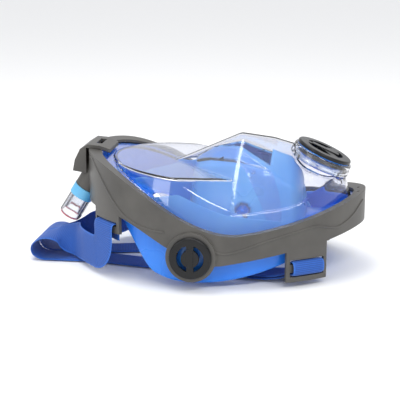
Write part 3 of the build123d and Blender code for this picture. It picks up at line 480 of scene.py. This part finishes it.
def lens_z(x, y, depth, less, flange):
    """Height of the lens at an inset depth: flange, side wall, window, shoulders and nose pyramid."""
    window = WINDOW_Z - WINDOW_SLOPE * x - less
    shoulder = 93 - 1.3 * less - (0.33 * (x + 13) + 0.62 * (np.abs(y) - 78)) / 0.71
    body = lower_of(window, shoulder, 1.6) - 3 * np.maximum(x - 38, 0)
    dome = upper_of(body, bulge(LENS_SLICES, x, y, 1.6) - less, 1.6)
    wall = LENS_BASE_Z + (depth - LENS_INSET - less) / LEAN
    return upper_of(lower_of(dome, wall, 3.0), rim_z(x) - flange, 1.0)


def lens_side(line, less, flange):
    """Rows of points from the flange's edge in to the middle line."""
    depths = np.hstack([FLANGE_DEPTH, np.linspace(3.7, DOME_DEPTH, 50)])
    rim = [np.column_stack([inset(line, d), lens_z(*inset(line, d).T, d, less, flange)]) for d in depths]
    edge = inset(line, DOME_DEPTH)
    spine = np.column_stack([np.clip(edge[:, 0], -12, 100), 0 * edge[:, 0]])
    rows = [edge + t * (spine - edge) for t in np.linspace(0, 1, 46)[1:]]
    inner = [np.column_stack([xy, lens_z(*xy.T, 99.0, less, flange)]) for xy in rows]
    return np.array(rim + inner)


def onto_rim(grid, place, radius, reach, depth=18):
    """Moves points near a round hole's edge straight onto it, so that the hole is a clean circle."""
    high, gap, away = from_axis(grid, place)
    near = (np.abs(gap - radius) < reach) & (np.abs(high) < depth)
    return grid + away * np.where(near, radius - gap, 0)[..., None]


DRAIN_TILT = math.radians(24)
DRAIN = place_of((113, 0, 101), (0, 1, 0), (math.sin(DRAIN_TILT), 0, math.cos(DRAIN_TILT)))
DRAIN_HOLE = 25.0
ring = outline(400)
lens_grid = np.vstack([lens_side(ring, LENS_THICK, FLANGE_FOOT)[::-1], lens_side(ring, 0, FLANGE_TOP)])
lens_grid = onto_rim(lens_grid, DRAIN, DRAIN_HOLE, 1.6)


def in_drain(middles):
    high, gap, _ = from_axis(middles, DRAIN)
    return (gap < DRAIN_HOLE) & (np.abs(high) < 22)


piece("lens_dome", [lens_grid], lens_pc, node="lens", drop=in_drain,
      holes=[(DRAIN, DRAIN_HOLE)], sharp=50)

# %% [markdown]
# A clear boss stands round the drain valve. It is a ring spun from a rounded profile, with a small foot.

# %% Drain boss
boss = soft([(23.1, -9.2), (27.2, -9.2), (28.2, -7.6), (27.5, 0.2), (27.0, 1.5), (23.1, 1.5)], 0.6)
piece("drain_boss", [spun(DRAIN, boss)], lens_pc, along=True)

# %% [markdown]
# ## The skirt
# The skirt is moulded in one piece: a bead that the lens clamps, a wall, a soft roll against the face and
# a thin lip that reaches in to the face opening. One closed profile follows the outline, and its lower
# half follows the height of the seal, which is lowest at the temples.

# %% Skirt
ring = outline(360)
WALL_IN, WALL_OUT, ROLL = 12.0, 10.0, 7.0
LIP = 1.8
FACE_X, FACE_LONG, FACE_WIDE = 26.0, 68.0, 62.0   # the face opening's middle and half sizes


def at_depth(depth, height):
    """A row of points at an inset, whose height is a function of x and y."""
    xy = inset(ring, depth)
    return np.column_stack([xy, height(*xy.T)])


def skirt_top(below):
    return lambda x, y: rim_z(x) - 5.7 - below


def wall_row(share):
    """Part of the way down the wall, from under the bead to the top of the roll."""
    return lambda x, y: (rim_z(x) - 8.4) * (1 - share) + (seal_z(x, y) + ROLL) * share


way = np.linspace(0, 2 * np.pi, 360, endpoint=False)
edge = inset(ring, ROLL + WALL_OUT)
face_turn = np.arctan2(edge[:, 1] / FACE_WIDE, (edge[:, 0] - FACE_X) / FACE_LONG)
opening = np.column_stack([FACE_X + FACE_LONG * np.cos(face_turn), FACE_WIDE * np.sin(face_turn)])
pleat_x = inset(ring, WALL_OUT)[:, 0]
pleats = 0.5 * np.sin(way * 150) * smooth((pleat_x + 80) / 20) * smooth((-12 - pleat_x) / 20)

rows = [at_depth(WALL_IN, skirt_top(0.3)), at_depth(11.6, skirt_top(0)), at_depth(9.0, skirt_top(0)),
        at_depth(8.5, skirt_top(0.5)), at_depth(8.5, skirt_top(1.7)), at_depth(9.0, skirt_top(2.2))]
rows += [at_depth(WALL_OUT - 0.9 * math.sin(math.pi * s) + pleats * math.sin(math.pi * s), wall_row(s))
         for s in np.linspace(0, 1, 18)]
turns = np.radians(np.linspace(0, 90, 8))
rows += [at_depth(WALL_OUT + ROLL * (1 - math.cos(a)),
                  lambda x, y, a=a: seal_z(x, y) + ROLL * (1 - math.sin(a))) for a in turns[1:-1]]
lip_ways = [edge + t * (opening - edge) for t in np.linspace(0, 1, 16) ** 0.9]
rows += [np.column_stack([xy, seal_z(*xy.T)]) for xy in lip_ways]
rows += [np.column_stack([xy, seal_z(*xy.T) + LIP]) for xy in lip_ways[::-1]]
rows += [at_depth(WALL_OUT + ROLL - (ROLL - 2) * math.cos(a),
                  lambda x, y, a=a: seal_z(x, y) + ROLL - (ROLL - LIP) * math.sin(a))
         for a in turns[::-1][1:-1]]
rows += [at_depth(WALL_IN, wall_row(s)) for s in np.linspace(1, 0, 18)]
SIDES = (("left", 1), ("right", -1))
TEMPLES = {side: place_of((TEMPLE_X, turn * 99.2, 30), (1, 0, 0), (0, turn, 0)) for side, turn in SIDES}
SPOUT_HOLE = 9.8
skirt_grid = np.array(rows)
for place in TEMPLES.values():
    skirt_grid = onto_rim(skirt_grid, place, SPOUT_HOLE, 1.5)


def in_spouts(middles):
    found = [from_axis(middles, place) for place in TEMPLES.values()]
    inside = [(reach < SPOUT_HOLE) & (np.abs(high) < 20) for high, reach, _ in found]
    return inside[0] | inside[1]


piece("skirt_silicone", [skirt_grid], blue_silicone, node="skirt", along=True,
      drop=in_spouts, holes=[(p, SPOUT_HOLE) for p in TEMPLES.values()], sharp=60)

# %% [markdown]
# Inside the skirt a low wall on each side parts the breathing channel from the view of the eyes. It stands
# on the lip and follows the outline from the forehead to the chin.

# %% Channel walls
CHANNEL = 23.0
channel_walls = []
for half in (slice(36, 158), slice(-158, -36)):
    xy = inset(ring, CHANNEL)[half]
    out = ring[2][half]
    share = np.sin(np.linspace(0, np.pi, len(xy))) ** 0.5
    foot = seal_z(*xy.T) + 1.0
    top = foot + share * (np.minimum(rim_z(xy[:, 0]) + 14, 78) - foot)
    profile = [(-0.8, 0), (-0.7, 0.5), (-0.6, 0.97), (-0.3, 1), (0.3, 1), (0.6, 0.97), (0.7, 0.5), (0.8, 0)]
    lines = [np.column_stack([xy + d * out, foot + t * (top - foot)]) for d, t in profile]
    channel_walls.append(np.stack(lines, axis=1))
piece("channel_walls", channel_walls, cup_silicone, caps=True, sharp=60)

# %% [markdown]
# ## The nose and mouth cup
# The cup is thinner and paler silicone. Its slices are tents, highest over the nose, and rows of points
# run over each tent. Neighbours are averaged a few times, which rounds the creases as moulding does. A
# three-cornered opening is left in front. The Solidify modifier then gives the wall its thickness.

# %% Cup
CUP_SLICES = np.array([
    (-6.0, 91.0, 12.0, 85.0, 26.0, 60.0), (14.0, 103.0, 24.0, 91.0, 42.0, 54.0),
    (40.0, 115.0, 36.0, 95.0, 54.0, 44.0), (66.0, 105.0, 38.0, 91.0, 54.0, 40.0),
    (88.0, 98.0, 32.0, 79.0, 46.0, 42.0), (100.0, 84.0, 24.0, 64.0, 36.0, 44.0)])
CUP_END, CUP_WALL, CUP_LIFT = 9.0, 1.8, 2.6   # rounded length at each end, wall, foot over the seal
CUP_TOP_X, CUP_CHIN_X = CUP_SLICES[0, 0], CUP_SLICES[-1, 0]
CUP_COLS = 121
xs = CUP_TOP_X + (CUP_CHIN_X - CUP_TOP_X) * (1 - np.cos(np.linspace(0, np.pi, 72))) / 2
ridge, wide, high, foot, low = (np.interp(xs, CUP_SLICES[:, 0], CUP_SLICES[:, k]) for k in range(1, 6))
base = seal_z(xs, foot) + CUP_LIFT
marks = np.array([0, 1, 2.4, 4.0, 5.6, 7, 8])
tent_y = np.stack([-foot, -foot, -wide, 0 * xs, wide, foot, foot], axis=1)
tent_z = np.stack([base, low, high, ridge, high, low, base], axis=1)
spots = np.linspace(0, 8, CUP_COLS)
left_mark = np.clip(np.searchsorted(marks, spots, side="right") - 1, 0, 5)
part = (spots - marks[left_mark]) / (marks[left_mark + 1] - marks[left_mark])
row_y = tent_y[:, left_mark] * (1 - part) + tent_y[:, left_mark + 1] * part
row_z = tent_z[:, left_mark] * (1 - part) + tent_z[:, left_mark + 1] * part
ends = np.clip(np.minimum(xs - CUP_TOP_X, CUP_CHIN_X - xs) / CUP_END, 0, 1)
closing = np.sqrt(1 - (1 - ends) ** 2)[:, None]
foot_z = seal_z(xs[:, None], row_y * closing) + CUP_LIFT
cup_grid = np.stack([np.repeat(xs[:, None], CUP_COLS, axis=1), row_y * closing,
                     foot_z + (row_z - foot_z).clip(0) * closing], axis=-1)
for _ in range(5):
    cup_grid[1:-1] = (cup_grid[:-2] + 2 * cup_grid[1:-1] + cup_grid[2:]) / 4
    cup_grid[:, 1:-1] = (cup_grid[:, :-2] + 2 * cup_grid[:, 1:-1] + cup_grid[:, 2:]) / 4


FRONT_TIP_X, FRONT_BASE_X, FRONT_HALF, FRONT_Z = 18.0, 68.0, 26.0, 70.0


def front_edge(x, y):
    """Distance outside the three-cornered front opening, and the direction out of the nearest side."""
    run, rise = unit(np.array([FRONT_BASE_X - FRONT_TIP_X, FRONT_HALF]))
    ahead = rise * (x - FRONT_TIP_X)
    gaps = np.stack([x - FRONT_BASE_X, run * y - ahead, -run * y - ahead])
    return gaps.max(axis=0), np.array([(1, 0), (-rise, run), (-rise, -run)])[gaps.argmax(axis=0)]


gap, away = front_edge(cup_grid[..., 0], cup_grid[..., 1])
near = (np.abs(gap) < 1.3) & (cup_grid[..., 2] > FRONT_Z)
moved = cup_grid[..., :2] - away * np.where(near, gap, 0)[..., None]
cup_grid[..., 2] += (bulge(CUP_SLICES, moved[..., 0], moved[..., 1])
                     - bulge(CUP_SLICES, cup_grid[..., 0], cup_grid[..., 1]))
cup_grid[..., :2] = moved

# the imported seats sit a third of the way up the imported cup's flank, whose shoulder and foot these are
CUP_VALVE_X, CUP_VALVE_HOLE = 46.0, 6.6
wide, high, foot, low = 36.46, 88.38, 54.0, 43.08
CUP_VALVES = {side: place_of((CUP_VALVE_X, turn * (wide + 2 * foot) / 3, (high + 2 * low) / 3), (1, 0, 0),
                             (0, turn * (high - low), foot - wide)) for side, turn in SIDES}


def in_cup_holes(middles):
    front = (front_edge(middles[:, 0], middles[:, 1])[0] < 0) & (middles[:, 2] > FRONT_Z)
    for place in CUP_VALVES.values():
        high, reach, _ = from_axis(middles, place)
        front |= (reach < CUP_VALVE_HOLE) & (np.abs(high) < 12)
    return front


cup = piece("nose_cup", [cup_grid], cup_silicone, node="oronasal_cup", around=False,
            drop=in_cup_holes, closed=False, sharp=70)
wall = cup.modifiers.new("wall", "SOLIDIFY")
wall.thickness, wall.offset, wall.use_even_offset = CUP_WALL * MM, -1, False

# %% [markdown]
# A clear V lies over the cup. Each arm follows the cup, so its height comes from the cup's own height,
# and two small round buttons stand on it.

# %% Retainer
ARM, ARM_WIDE, ARM_TURN = 92.0, 14.0, math.radians(32)


def on_cup(x, y, lift):
    return np.maximum(bulge(CUP_SLICES, x, y), seal_z(x, y) + 6) + lift


arms, buttons = [], []
for turn in (1, -1):
    ahead = np.array([math.cos(ARM_TURN), turn * math.sin(ARM_TURN)])
    side = np.array([-ahead[1], ahead[0]])
    along = np.linspace(2, ARM, 70)
    end = np.clip(np.minimum(along - 1.2, ARM + 0.8 - along) / (ARM_WIDE / 2), 0, 1)
    half = ARM_WIDE / 2 * np.sqrt(1 - (1 - end) ** 2)
    across = np.hstack([np.linspace(-1, 1, 13), np.linspace(1, -1, 13)])
    lift = np.hstack([1.1 + 1.4 * (1 - np.linspace(-1, 1, 13) ** 8), np.full(13, 0.9)])
    xy = along[:, None, None] * ahead + (half[:, None] * across)[..., None] * side
    arms.append(np.concatenate([xy, (on_cup(xy[..., 0], xy[..., 1], 0) + lift)[..., None]], axis=-1))
    for x, y in ((25.0, 22.0 * turn), (54.0, 38.0 * turn)):
        slope_x = float(bulge(CUP_SLICES, x + 2, y) - bulge(CUP_SLICES, x - 2, y)) / 4
        slope_y = float(bulge(CUP_SLICES, x, y + 2) - bulge(CUP_SLICES, x, y - 2)) / 4
        place = place_of((x, y, float(on_cup(x, y, 2.2))), (1, 0, slope_x), (-slope_x, -slope_y, 1))
        dome = [(0, 1.5), (1.0, 1.45), (1.7, 1.1), (2.0, 0.5), (2.0, -0.6), (0, -0.6)]
        buttons.append(spun(place, dome, 24))
piece("cup_retainer_arms", arms, retainer_pc, node="cup_retainer", caps=True, sharp=50)
piece("cup_retainer_buttons", buttons, retainer_pc, around=False, along=True)

# %% [markdown]
# Just under the forehead tab a pale pad lies inside the window, over the mouth of the air way to the port.
# It is a thin slab with rounded edges that keeps a small distance from the lens above it.

# %% Air way pad
pad_x = np.linspace(-78.5, -68.5, 12)
pad_half = 9.5 - 0.8 * np.linspace(-1, 1, 12) ** 12
pad_across = np.hstack([np.linspace(-1, 1, 15), np.linspace(1, -1, 15)])
pad_lift = np.hstack([0.9 - 0.5 * np.linspace(-1, 1, 15) ** 10, np.full(15, 0.0)])
pad = np.stack(np.broadcast_arrays(pad_x[:, None], pad_half[:, None] * pad_across,
                                   (89.5 + 0.12 * pad_x)[:, None] + pad_lift), axis=-1)
piece("air_way_pad", [pad], cup_silicone, caps=True, sharp=50)

# %% [markdown]
# ## Soft valve discs and sealing rings
# Each one-way valve is a silicone mushroom: a thin disc, a stem and a barb that holds it in its seat.
# The sealing rings are round in section. All are profiles spun round their valve's axis.

# %% Discs and rings
def disc_profile(radius):
    return [(0, -4.5), (radius * 0.5, -4.6), (radius - 1.2, -4.75), (radius - 0.3, -5.0), (radius, -5.35),
            (radius - 0.3, -5.75), (radius - 1.2, -5.9), (1.9, -5.9), (1.6, -6.3), (1.6, -10.0),
            (2.7, -10.2), (2.5, -10.6), (1.4, -11.3), (0, -11.3)]


def ring_profile(radius, thick):
    turn = np.linspace(0, 2 * np.pi, 12, endpoint=False)
    return np.stack([radius + thick * np.cos(turn), 1.95 + thick * np.sin(turn)], axis=1)


# place, radius of the disc and radius of the ring
VALVES = {"chin": (DRAIN, 19.9, 24.55)} | {side: (place, 12.5, 17.1) for side, place in TEMPLES.items()}
for name, (place, disc_r, ring_r) in VALVES.items():
    piece(f"{name}_flap_disc", [spun(place, disc_profile(disc_r), 64)], blue_silicone,
          node=f"{name}_valve_flap", around=False, along=True)
    piece(f"{name}_sealing_ring", [spun(place, ring_profile(ring_r, 0.4), 64)], blue_silicone,
          node=f"{name}_valve_seal", along=True)
small = [(0, -1.9), (0.85, -1.9), (5.3, -1.9), (5.6, -2.3), (5.2, -2.6), (0, -2.7)]
stem = [(0, -2.0), (0.85, -2.0), (0.85, 3.0), (1.5, 3.1), (1.3, 3.7), (0, 3.9)]
for side, place in CUP_VALVES.items():
    piece(f"{side}_cup_flap_disc", [spun(place, small, 32), spun(place, stem, 32)], blue_silicone,
          node=f"{side}_cup_valve_flap", around=False, along=True)

# %% [markdown]
# ## The port's soft rim
# A red silicone lip closes the gap to the snorkel. Its path is a flattened oval, and a rounded section
# follows it. A web crosses it between the two air ways.

# %% Port rim
TILT = math.radians(32)
PORT = place_of((-101.8, 0, 67), (0, 1, 0), (-math.sin(TILT), 0, -math.cos(TILT)))


def oval_loop(width, depth, count=96):
    """Points and outward directions round an oval with straight sides, at equal angles on its ends."""
    turn = np.linspace(0, 2 * np.pi, count, endpoint=False)
    out = np.stack([np.cos(turn), np.sin(turn)], axis=1)
    aside = np.stack([np.sign(out[:, 0]) * (width - depth) / 2, 0 * turn], axis=1)
    return depth / 2 * out + aside, out


def on_place(place, flat, height):
    return place[0] + flat[..., :1] * place[1] + flat[..., 1:2] * place[2] + height * place[3]


STUB = 30.1   # from the place down to the stub's mouth
path, out = oval_loop(39.0, 17.0)
section = soft([(-0.9, STUB), (0.9, STUB), (1.1, 31.2), (0.3, 31.9), (-0.9, 31.7)], 0.4)
rim_ring = np.stack([on_place(PORT, path + d * out, h) for d, h in section], axis=1)
piece("port_lip", [rim_ring], red_silicone, node="port_gasket", along=True)
web_path = np.stack([np.zeros(20), np.linspace(-8.2, 8.2, 20)], axis=1)
web = soft([(-0.9, STUB), (0.9, STUB), (0.7, 31.5), (-0.7, 31.5)], 0.3)
web_grid = np.stack([on_place(PORT, web_path + np.array([d, 0]), h) for d, h in web], axis=1)
piece("port_web", [web_grid], red_silicone, caps=True)

# %% [markdown]
# ## Style lines on the frame
# A raised line leaves the forehead rim and runs down to the temple valve. Another dips behind the valve
# and climbs to the chin. Each is a thin cord half sunk in the frame's side.

# %% Style lines
LINES = {
    "crown": [(-90, 101.5), (-85, 99), (-73, 84), (-60, 68), (-48, 58), (-31, 52), (-15, 50.5)],
    "jaw": [(19, 46.5), (26, 37), (33, 33), (46, 34.5), (70, 42.5), (95, 49), (111, 52), (120, 49.5),
            (130, 48), (141, 54), (149.5, 64)]}
style = []
for route in LINES.values():
    for turn in (1, -1):
        run = flow(np.array(route, float), 14)
        width, away = flank(run[:, 0])
        path = np.column_stack([run[:, 0], turn * width, run[:, 1]])
        out = np.column_stack([away[:, 0], turn * away[:, 1], 0 * width])
        ahead = unit(np.gradient(path, axis=0))
        bead = soft([(-1.0, -1.2), (0.75, -0.8), (0.75, 0.8), (-1.0, 1.2)], 0.35)
        style.append(swept(path, out, np.cross(ahead, out), bead))
piece("frame_style_lines", style, grey_abs, caps=True, sharp=50)

# %% [markdown]
# ## Webbing
# The harness is polyester webbing, 30 mm wide, woven with weft ribs across it and closed selvedges.
# Each half is one ribbon through the lugs. The mesh carries its own length and width in millimetres
# as an attribute, and the weave is drawn from that, so that the ribs follow every bend.

# %% Woven polyester
def woven(name, colour, dark, pale, rib):
    """Webbing with weft ribs a rib apart along its length."""
    made, tree, shader, _ = finish(name, Roughness=0.72, Sheen_Weight=0.12, Sheen_Roughness=0.4)
    spot = add(tree, "SeparateXYZ", {0: add(tree, "Attribute", attribute_name="weave").outputs["Vector"]})

    def wave(source, pitch, shift=0.0):
        phase = add(tree, "Math", {0: source, 1: 2 * math.pi / pitch, 2: shift}, operation="MULTIPLY_ADD")
        return add(tree, "Math", {0: phase.outputs[0]}, operation="SINE").outputs[0]

    weft, warp = wave(spot.outputs[0], rib), wave(spot.outputs[1], rib * 0.8)
    checks = add(tree, "Math", {0: weft, 1: warp}, operation="MULTIPLY").outputs[0]
    height = add(tree, "Math", {0: checks, 1: 0.45, 2: weft}, operation="MULTIPLY_ADD").outputs[0]
    where = add(tree, "TexCoord").outputs["Object"]
    fuzz = add(tree, "TexNoise", {"Vector": where, "Scale": 1 / (0.8 * MM)})
    shade = add(tree, "MapRange", {0: height, 1: -1.2, 2: 1.2, 3: 0.0, 4: 1.0})
    tone = add(tree, "Mix", {0: shade.outputs[0], 6: linear(dark), 7: linear(colour)}, data_type="RGBA")
    aside = add(tree, "Math", {0: spot.outputs[1]}, operation="ABSOLUTE").outputs[0]
    border = add(tree, "MapRange", {0: aside, 1: 13.2, 2: 14.2, 3: 0.0, 4: 0.6})
    skin = add(tree, "Mix", {0: border.outputs[0], 6: tone.outputs[2], 7: linear(pale)}, data_type="RGBA")
    worn = add(tree, "MapRange", {0: fuzz.outputs[0], 1: 0.3, 2: 0.8, 3: 0.0, 4: 0.25})
    aged = add(tree, "Mix", {0: worn.outputs[0], 6: skin.outputs[2], 7: linear(pale)}, data_type="RGBA")
    bump = add(tree, "Bump", {"Height": height, "Strength": 0.6, "Distance": 0.15 * MM})
    tree.links.new(aged.outputs[2], shader.inputs["Base Color"])
    tree.links.new(bump.outputs[0], shader.inputs["Normal"])
    return made


# a real rib is about 0.9 mm, drawn here at 1.5 mm so that it shows
webbing = woven("woven_polyester_blue", "#1f5bb8", "#133c80", "#2f6ecb", 1.5)
thread = silicone("spun_polyester_thread", "#3b6fd0", "#2d5cb8", 0.0, 0.6)

# %% [markdown]
# The ribbon's route is a list of points, each with the direction of its width. It starts behind the crown
# lug, turns flat behind the forehead, folds back under the mask and goes through both slots of the jaw lug.

# %% Strap route
WIDE, THICK = 30.0, 1.6
RUN_SLOPE = 0.22857


def lug(middle, radius, x):
    """Point on an outline arc of the left side, its outward direction and the one towards the chin."""
    turn = math.acos((x - middle[0]) / radius)
    out = np.array([math.cos(turn), math.sin(turn), 0])
    along = np.array([math.sin(turn), -math.cos(turn), 0])
    return np.array([middle[0], middle[1], 0]) + out * radius, out, along


def under_run(x, z):
    return (x, 16.8 + RUN_SLOPE * (x + 80), z), (-0.2228, 0.9749, 0)


route = []
spot, out, along = lug((0, 0), CROWN_R, -72.0)
up = np.array([0, 0, 1.0])
for away, z in ((-5.5, 35), (-5.5, 40), (-5.5, 45.5), (-4.2, 49.3), (-1.5, 50.1), (1.3, 49),
                (2.2, 45), (2.2, 41), (2.2, 36.5)):
    route.append((spot + out * away + up * z, along))
for bend in np.radians([22.5, 45, 67.5, 90]):
    route.append((spot + out * 2.2 - along * 17 * (1 - math.cos(bend)) + up * (36.5 - 17 * math.sin(bend)),
                  along * math.cos(bend) - up * math.sin(bend)))
LOOP_X = -151.1
route += [((-96, 43, 19.5), (0, 0, -1)), ((-104, 30, 19), (0, 0.15, -0.99)),
          ((-112, 19, 20), (0, 0.45, -0.89)), ((-122, 15, 21.5), (0, 0.86, -0.5)),
          ((-132, 15.4, 22), (0, 1, -0.1))]
route += [((x, 15.4, z), (0, 1, 0)) for x, z in (
    (LOOP_X + 9.5, 20.5), (LOOP_X + 2, 15.5), (LOOP_X, 10), (LOOP_X + 2.5, 4.6), (LOOP_X + 10, 1.2),
    (LOOP_X + 20, 1.1), (-98, 1.1))]
route += [((-82, 16.6, 1.1), (-0.15, 0.99, 0)), under_run(-40, 1.2), under_run(-15, 2.3), under_run(60, 2.3)]
turn_in = [((76, 52.4, 3.2), (-0.35, 0.94, 0)), ((88, 54.6, 5.2), (-0.6, 0.8, 0))]
route += turn_in
spot, out, along = lug((39.77, -28.22), JAW_R, 104.5)
for away, z in ((-14, 7.5), (-8, 9.9), (-3.5, 11.4), (0.2, 11.5), (2.2, 13.7), (2.6, 17), (2.2, 20.3),
                (0.2, 22.5), (-3.6, 22.4), (-6.3, 20.1), (-7.2, 16.5), (-9.5, 13.5), (-14, 10.4)):
    route.append((spot + out * away + up * z, -along))
back_run = turn_in[::-1] + [under_run(60, 2.3), under_run(5, 2.3)]
route += [(np.array(p) + up * 2.35, w) for p, w in back_run]
route = np.array([np.hstack([p, w]) for p, w in route])
print("strap route:", len(route), "stations")

# %% Straps
def ribbon(stations, steps=6):
    """Webbing along stations, with rounded selvedges, and its length and width in millimetres."""
    run = flow(stations, steps)
    path, width = run[:, :3], unit(run[:, 3:])
    ahead = unit(np.gradient(path, axis=0))
    width = unit(width - (width * ahead).sum(axis=1, keepdims=True) * ahead)
    face = np.cross(ahead, width)
    across = np.linspace(-1, 1, 17)
    thick = THICK / 2 * (1 - across**8) ** 0.5
    profile = np.vstack([np.column_stack([across, thick])[:-1],
                         np.column_stack([across, -thick])[::-1][:-1]])
    length = np.hstack([0, np.cumsum(np.linalg.norm(np.diff(path, axis=0), axis=1))])
    grid = swept(path, width * WIDE / 2, face, profile)
    shape = grid.shape[:2]
    weave = np.stack([np.broadcast_to(length[:, None], shape),
                      np.broadcast_to(profile[:, 0] * WIDE / 2, shape), np.zeros(shape)], axis=-1)
    return grid, weave, length[-1]


MIRROR = np.array([1, -1, 1])
for side, flip in (("left", np.ones(3)), ("right", MIRROR)):
    grid, weave, length = ribbon(route)
    piece(f"webbing_{side}", [grid * flip], webbing, node=f"strap_{side}", caps=True,
          weave=[weave], sharp=60)
print("webbing length on each side, mm:", round(length))

# %% [markdown]
# ## Stitching
# A zigzag of thread joins the two bands where they lie edge to edge, and bar-tacks lock its ends. Each
# stitch is a short cord that dips into the cloth at both ends.

# %% Stitches
def stitch(start, end, lift, radius=0.32):
    """A thread from start to end that rises over the cloth in the middle by the lift."""
    t = np.linspace(0, 1, 7)[:, None]
    path = np.array(start) * (1 - t) + np.array(end) * t + np.array(lift) * np.sin(np.pi * t)
    return tube(path, radius, 6)


seam = flow(np.array([(-122.0, 21.5), (-132, 22), (LOOP_X + 9.5, 20.5), (LOOP_X + 2, 15.5), (LOOP_X, 10),
                      (LOOP_X + 2.5, 4.6), (LOOP_X + 10, 1.2), (LOOP_X + 20, 1.1), (-98, 1.1)]), 30)
gaps = np.hstack([0, np.cumsum(np.linalg.norm(np.diff(seam, axis=0), axis=1))])
marks = np.arange(0, gaps[-1], 1.6)
seam_x, seam_z = (np.interp(marks, gaps, seam[:, k]) for k in (0, 1))
slope = unit(np.stack([np.gradient(seam_x), np.gradient(seam_z)], axis=1))
outside = np.column_stack([slope[:, 1], 0 * marks, -slope[:, 0]]) * -1
zigzag = np.column_stack([seam_x, 2.2 * (-1.0) ** np.arange(len(marks)), seam_z]) + outside * 0.75
stitches = [stitch(a, b, proud * 0.35) for a, b, proud in zip(zigzag[:-1], zigzag[1:], outside)]
for at in (4, 7, 10):
    for k in range(6):
        spot = zigzag[at] * np.array([1, 0, 1]) + np.array([0, -4.5 + 1.8 * k, 0])
        reach = np.array([1.4, 0, 0])
        stitches.append(stitch(spot - reach, spot + reach, outside[at] * 0.4))
piece("harness_stitches", stitches, thread, caps=True)

# %% [markdown]
# ## Strap keepers
# A moulded sleeve on each side holds the doubled webbing together. Its path is a flat rounded rectangle
# square to the strap, and a rounded section 18 mm long follows that path.

# %% Keepers
rubber = silicone("moulded_rubber_dark_blue", "#244f9e", "#1d4288", 0.0, 0.45)
loop = soft([(-16.1, -2.9), (16.1, -2.9), (16.1, 2.9), (-16.1, 2.9)], 1.6, 7)
loop_out = np.roll(loop, -1, axis=0) - np.roll(loop, 1, axis=0)
loop_out = unit(np.column_stack([loop_out[:, 1], -loop_out[:, 0]]))
wall_section = soft([(-0.6, -9), (0.6, -9), (0.75, -8), (0.6, -7), (0.6, 7), (0.75, 8), (0.6, 9),
                     (-0.6, 9)], 0.35)
middle, width = (np.array(v) for v in under_run(30, 3.5))
ahead = unit(np.array([1, RUN_SLOPE, 0]))
for side, flip in (("left", np.ones(3)), ("right", MIRROR)):
    flat = loop[:, None] + wall_section[None, :, :1] * loop_out[:, None]
    sleeve = middle + flat[..., :1] * width + flat[..., 1:] * up + wall_section[None, :, 1:] * ahead
    piece(f"keeper_sleeve_{side}", [sleeve * flip], rubber, node=f"keeper_{side}",
          along=True)

# %% [markdown]
# ## Floor, light and camera
# A pale floor, a pale sky and three soft boxes: a large one overhead, a strip that draws the long
# highlights on the lens, and a fill from the front.

# %% Studio
floor_mesh = bpy.data.meshes.new("floor")
REACH, FLOOR_Z = 30, -0.0003   # metres: wide enough for any view, and just below the seal
corners = [(x * REACH, y * REACH, FLOOR_Z) for x, y in ((-1, -1), (1, -1), (1, 1), (-1, 1))]
floor_mesh.from_pydata(corners, [], [(0, 1, 2, 3)])
floor = bpy.data.objects.new("floor", floor_mesh)
bpy.context.scene.collection.objects.link(floor)
paper, _, _, _ = finish("matt_paper_white", Base_Color=linear("#f4f4f3"), Roughness=0.9)
floor_mesh.materials.append(paper)
floor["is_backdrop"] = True

world = bpy.data.worlds.new("pale_sky")
world.use_nodes = True
world.node_tree.nodes["Background"].inputs[0].default_value = linear("#fbfcff")
world.node_tree.nodes["Background"].inputs[1].default_value = 0.95
bpy.context.scene.world = world


def soft_box(name, at, size, power):
    """An area lamp that faces the middle of the mask."""
    lamp = bpy.data.lights.new(name, "AREA")
    lamp.shape, lamp.size, lamp.size_y, lamp.energy = "RECTANGLE", size[0], size[1], power
    thing = bpy.data.objects.new(name, lamp)
    thing.location = at
    thing.rotation_euler = (Vector((0, 0, 0.05)) - Vector(at)).to_track_quat("-Z", "Y").to_euler()
    bpy.context.scene.collection.objects.link(thing)


soft_box("overhead", (-0.2, 0.0, 1.4), (0.9, 0.6), 8)
soft_box("strip", (0.5, -0.7, 0.9), (0.9, 0.12), 5)
soft_box("front", (-0.9, -1.1, 0.6), (0.6, 0.6), 3)

AZIMUTH, ELEVATION, DISTANCE = math.radians(8), math.radians(14), 1.02
aim = Vector((0.002, 0.0, 0.055))
level = math.cos(ELEVATION)
back = Vector((math.sin(AZIMUTH) * level, -math.cos(AZIMUTH) * level, math.sin(ELEVATION)))
camera = bpy.data.objects.new("camera", bpy.data.cameras.new("camera"))
camera.data.lens, camera.data.sensor_width = 100, 36
camera.location = aim + back * DISTANCE
camera.rotation_euler = (-back).to_track_quat("-Z", "Y").to_euler()
bpy.context.scene.collection.objects.link(camera)
bpy.context.scene.camera = camera
bpy.context.scene.view_settings.view_transform = "Standard"

# %% Sizes
low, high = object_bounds()
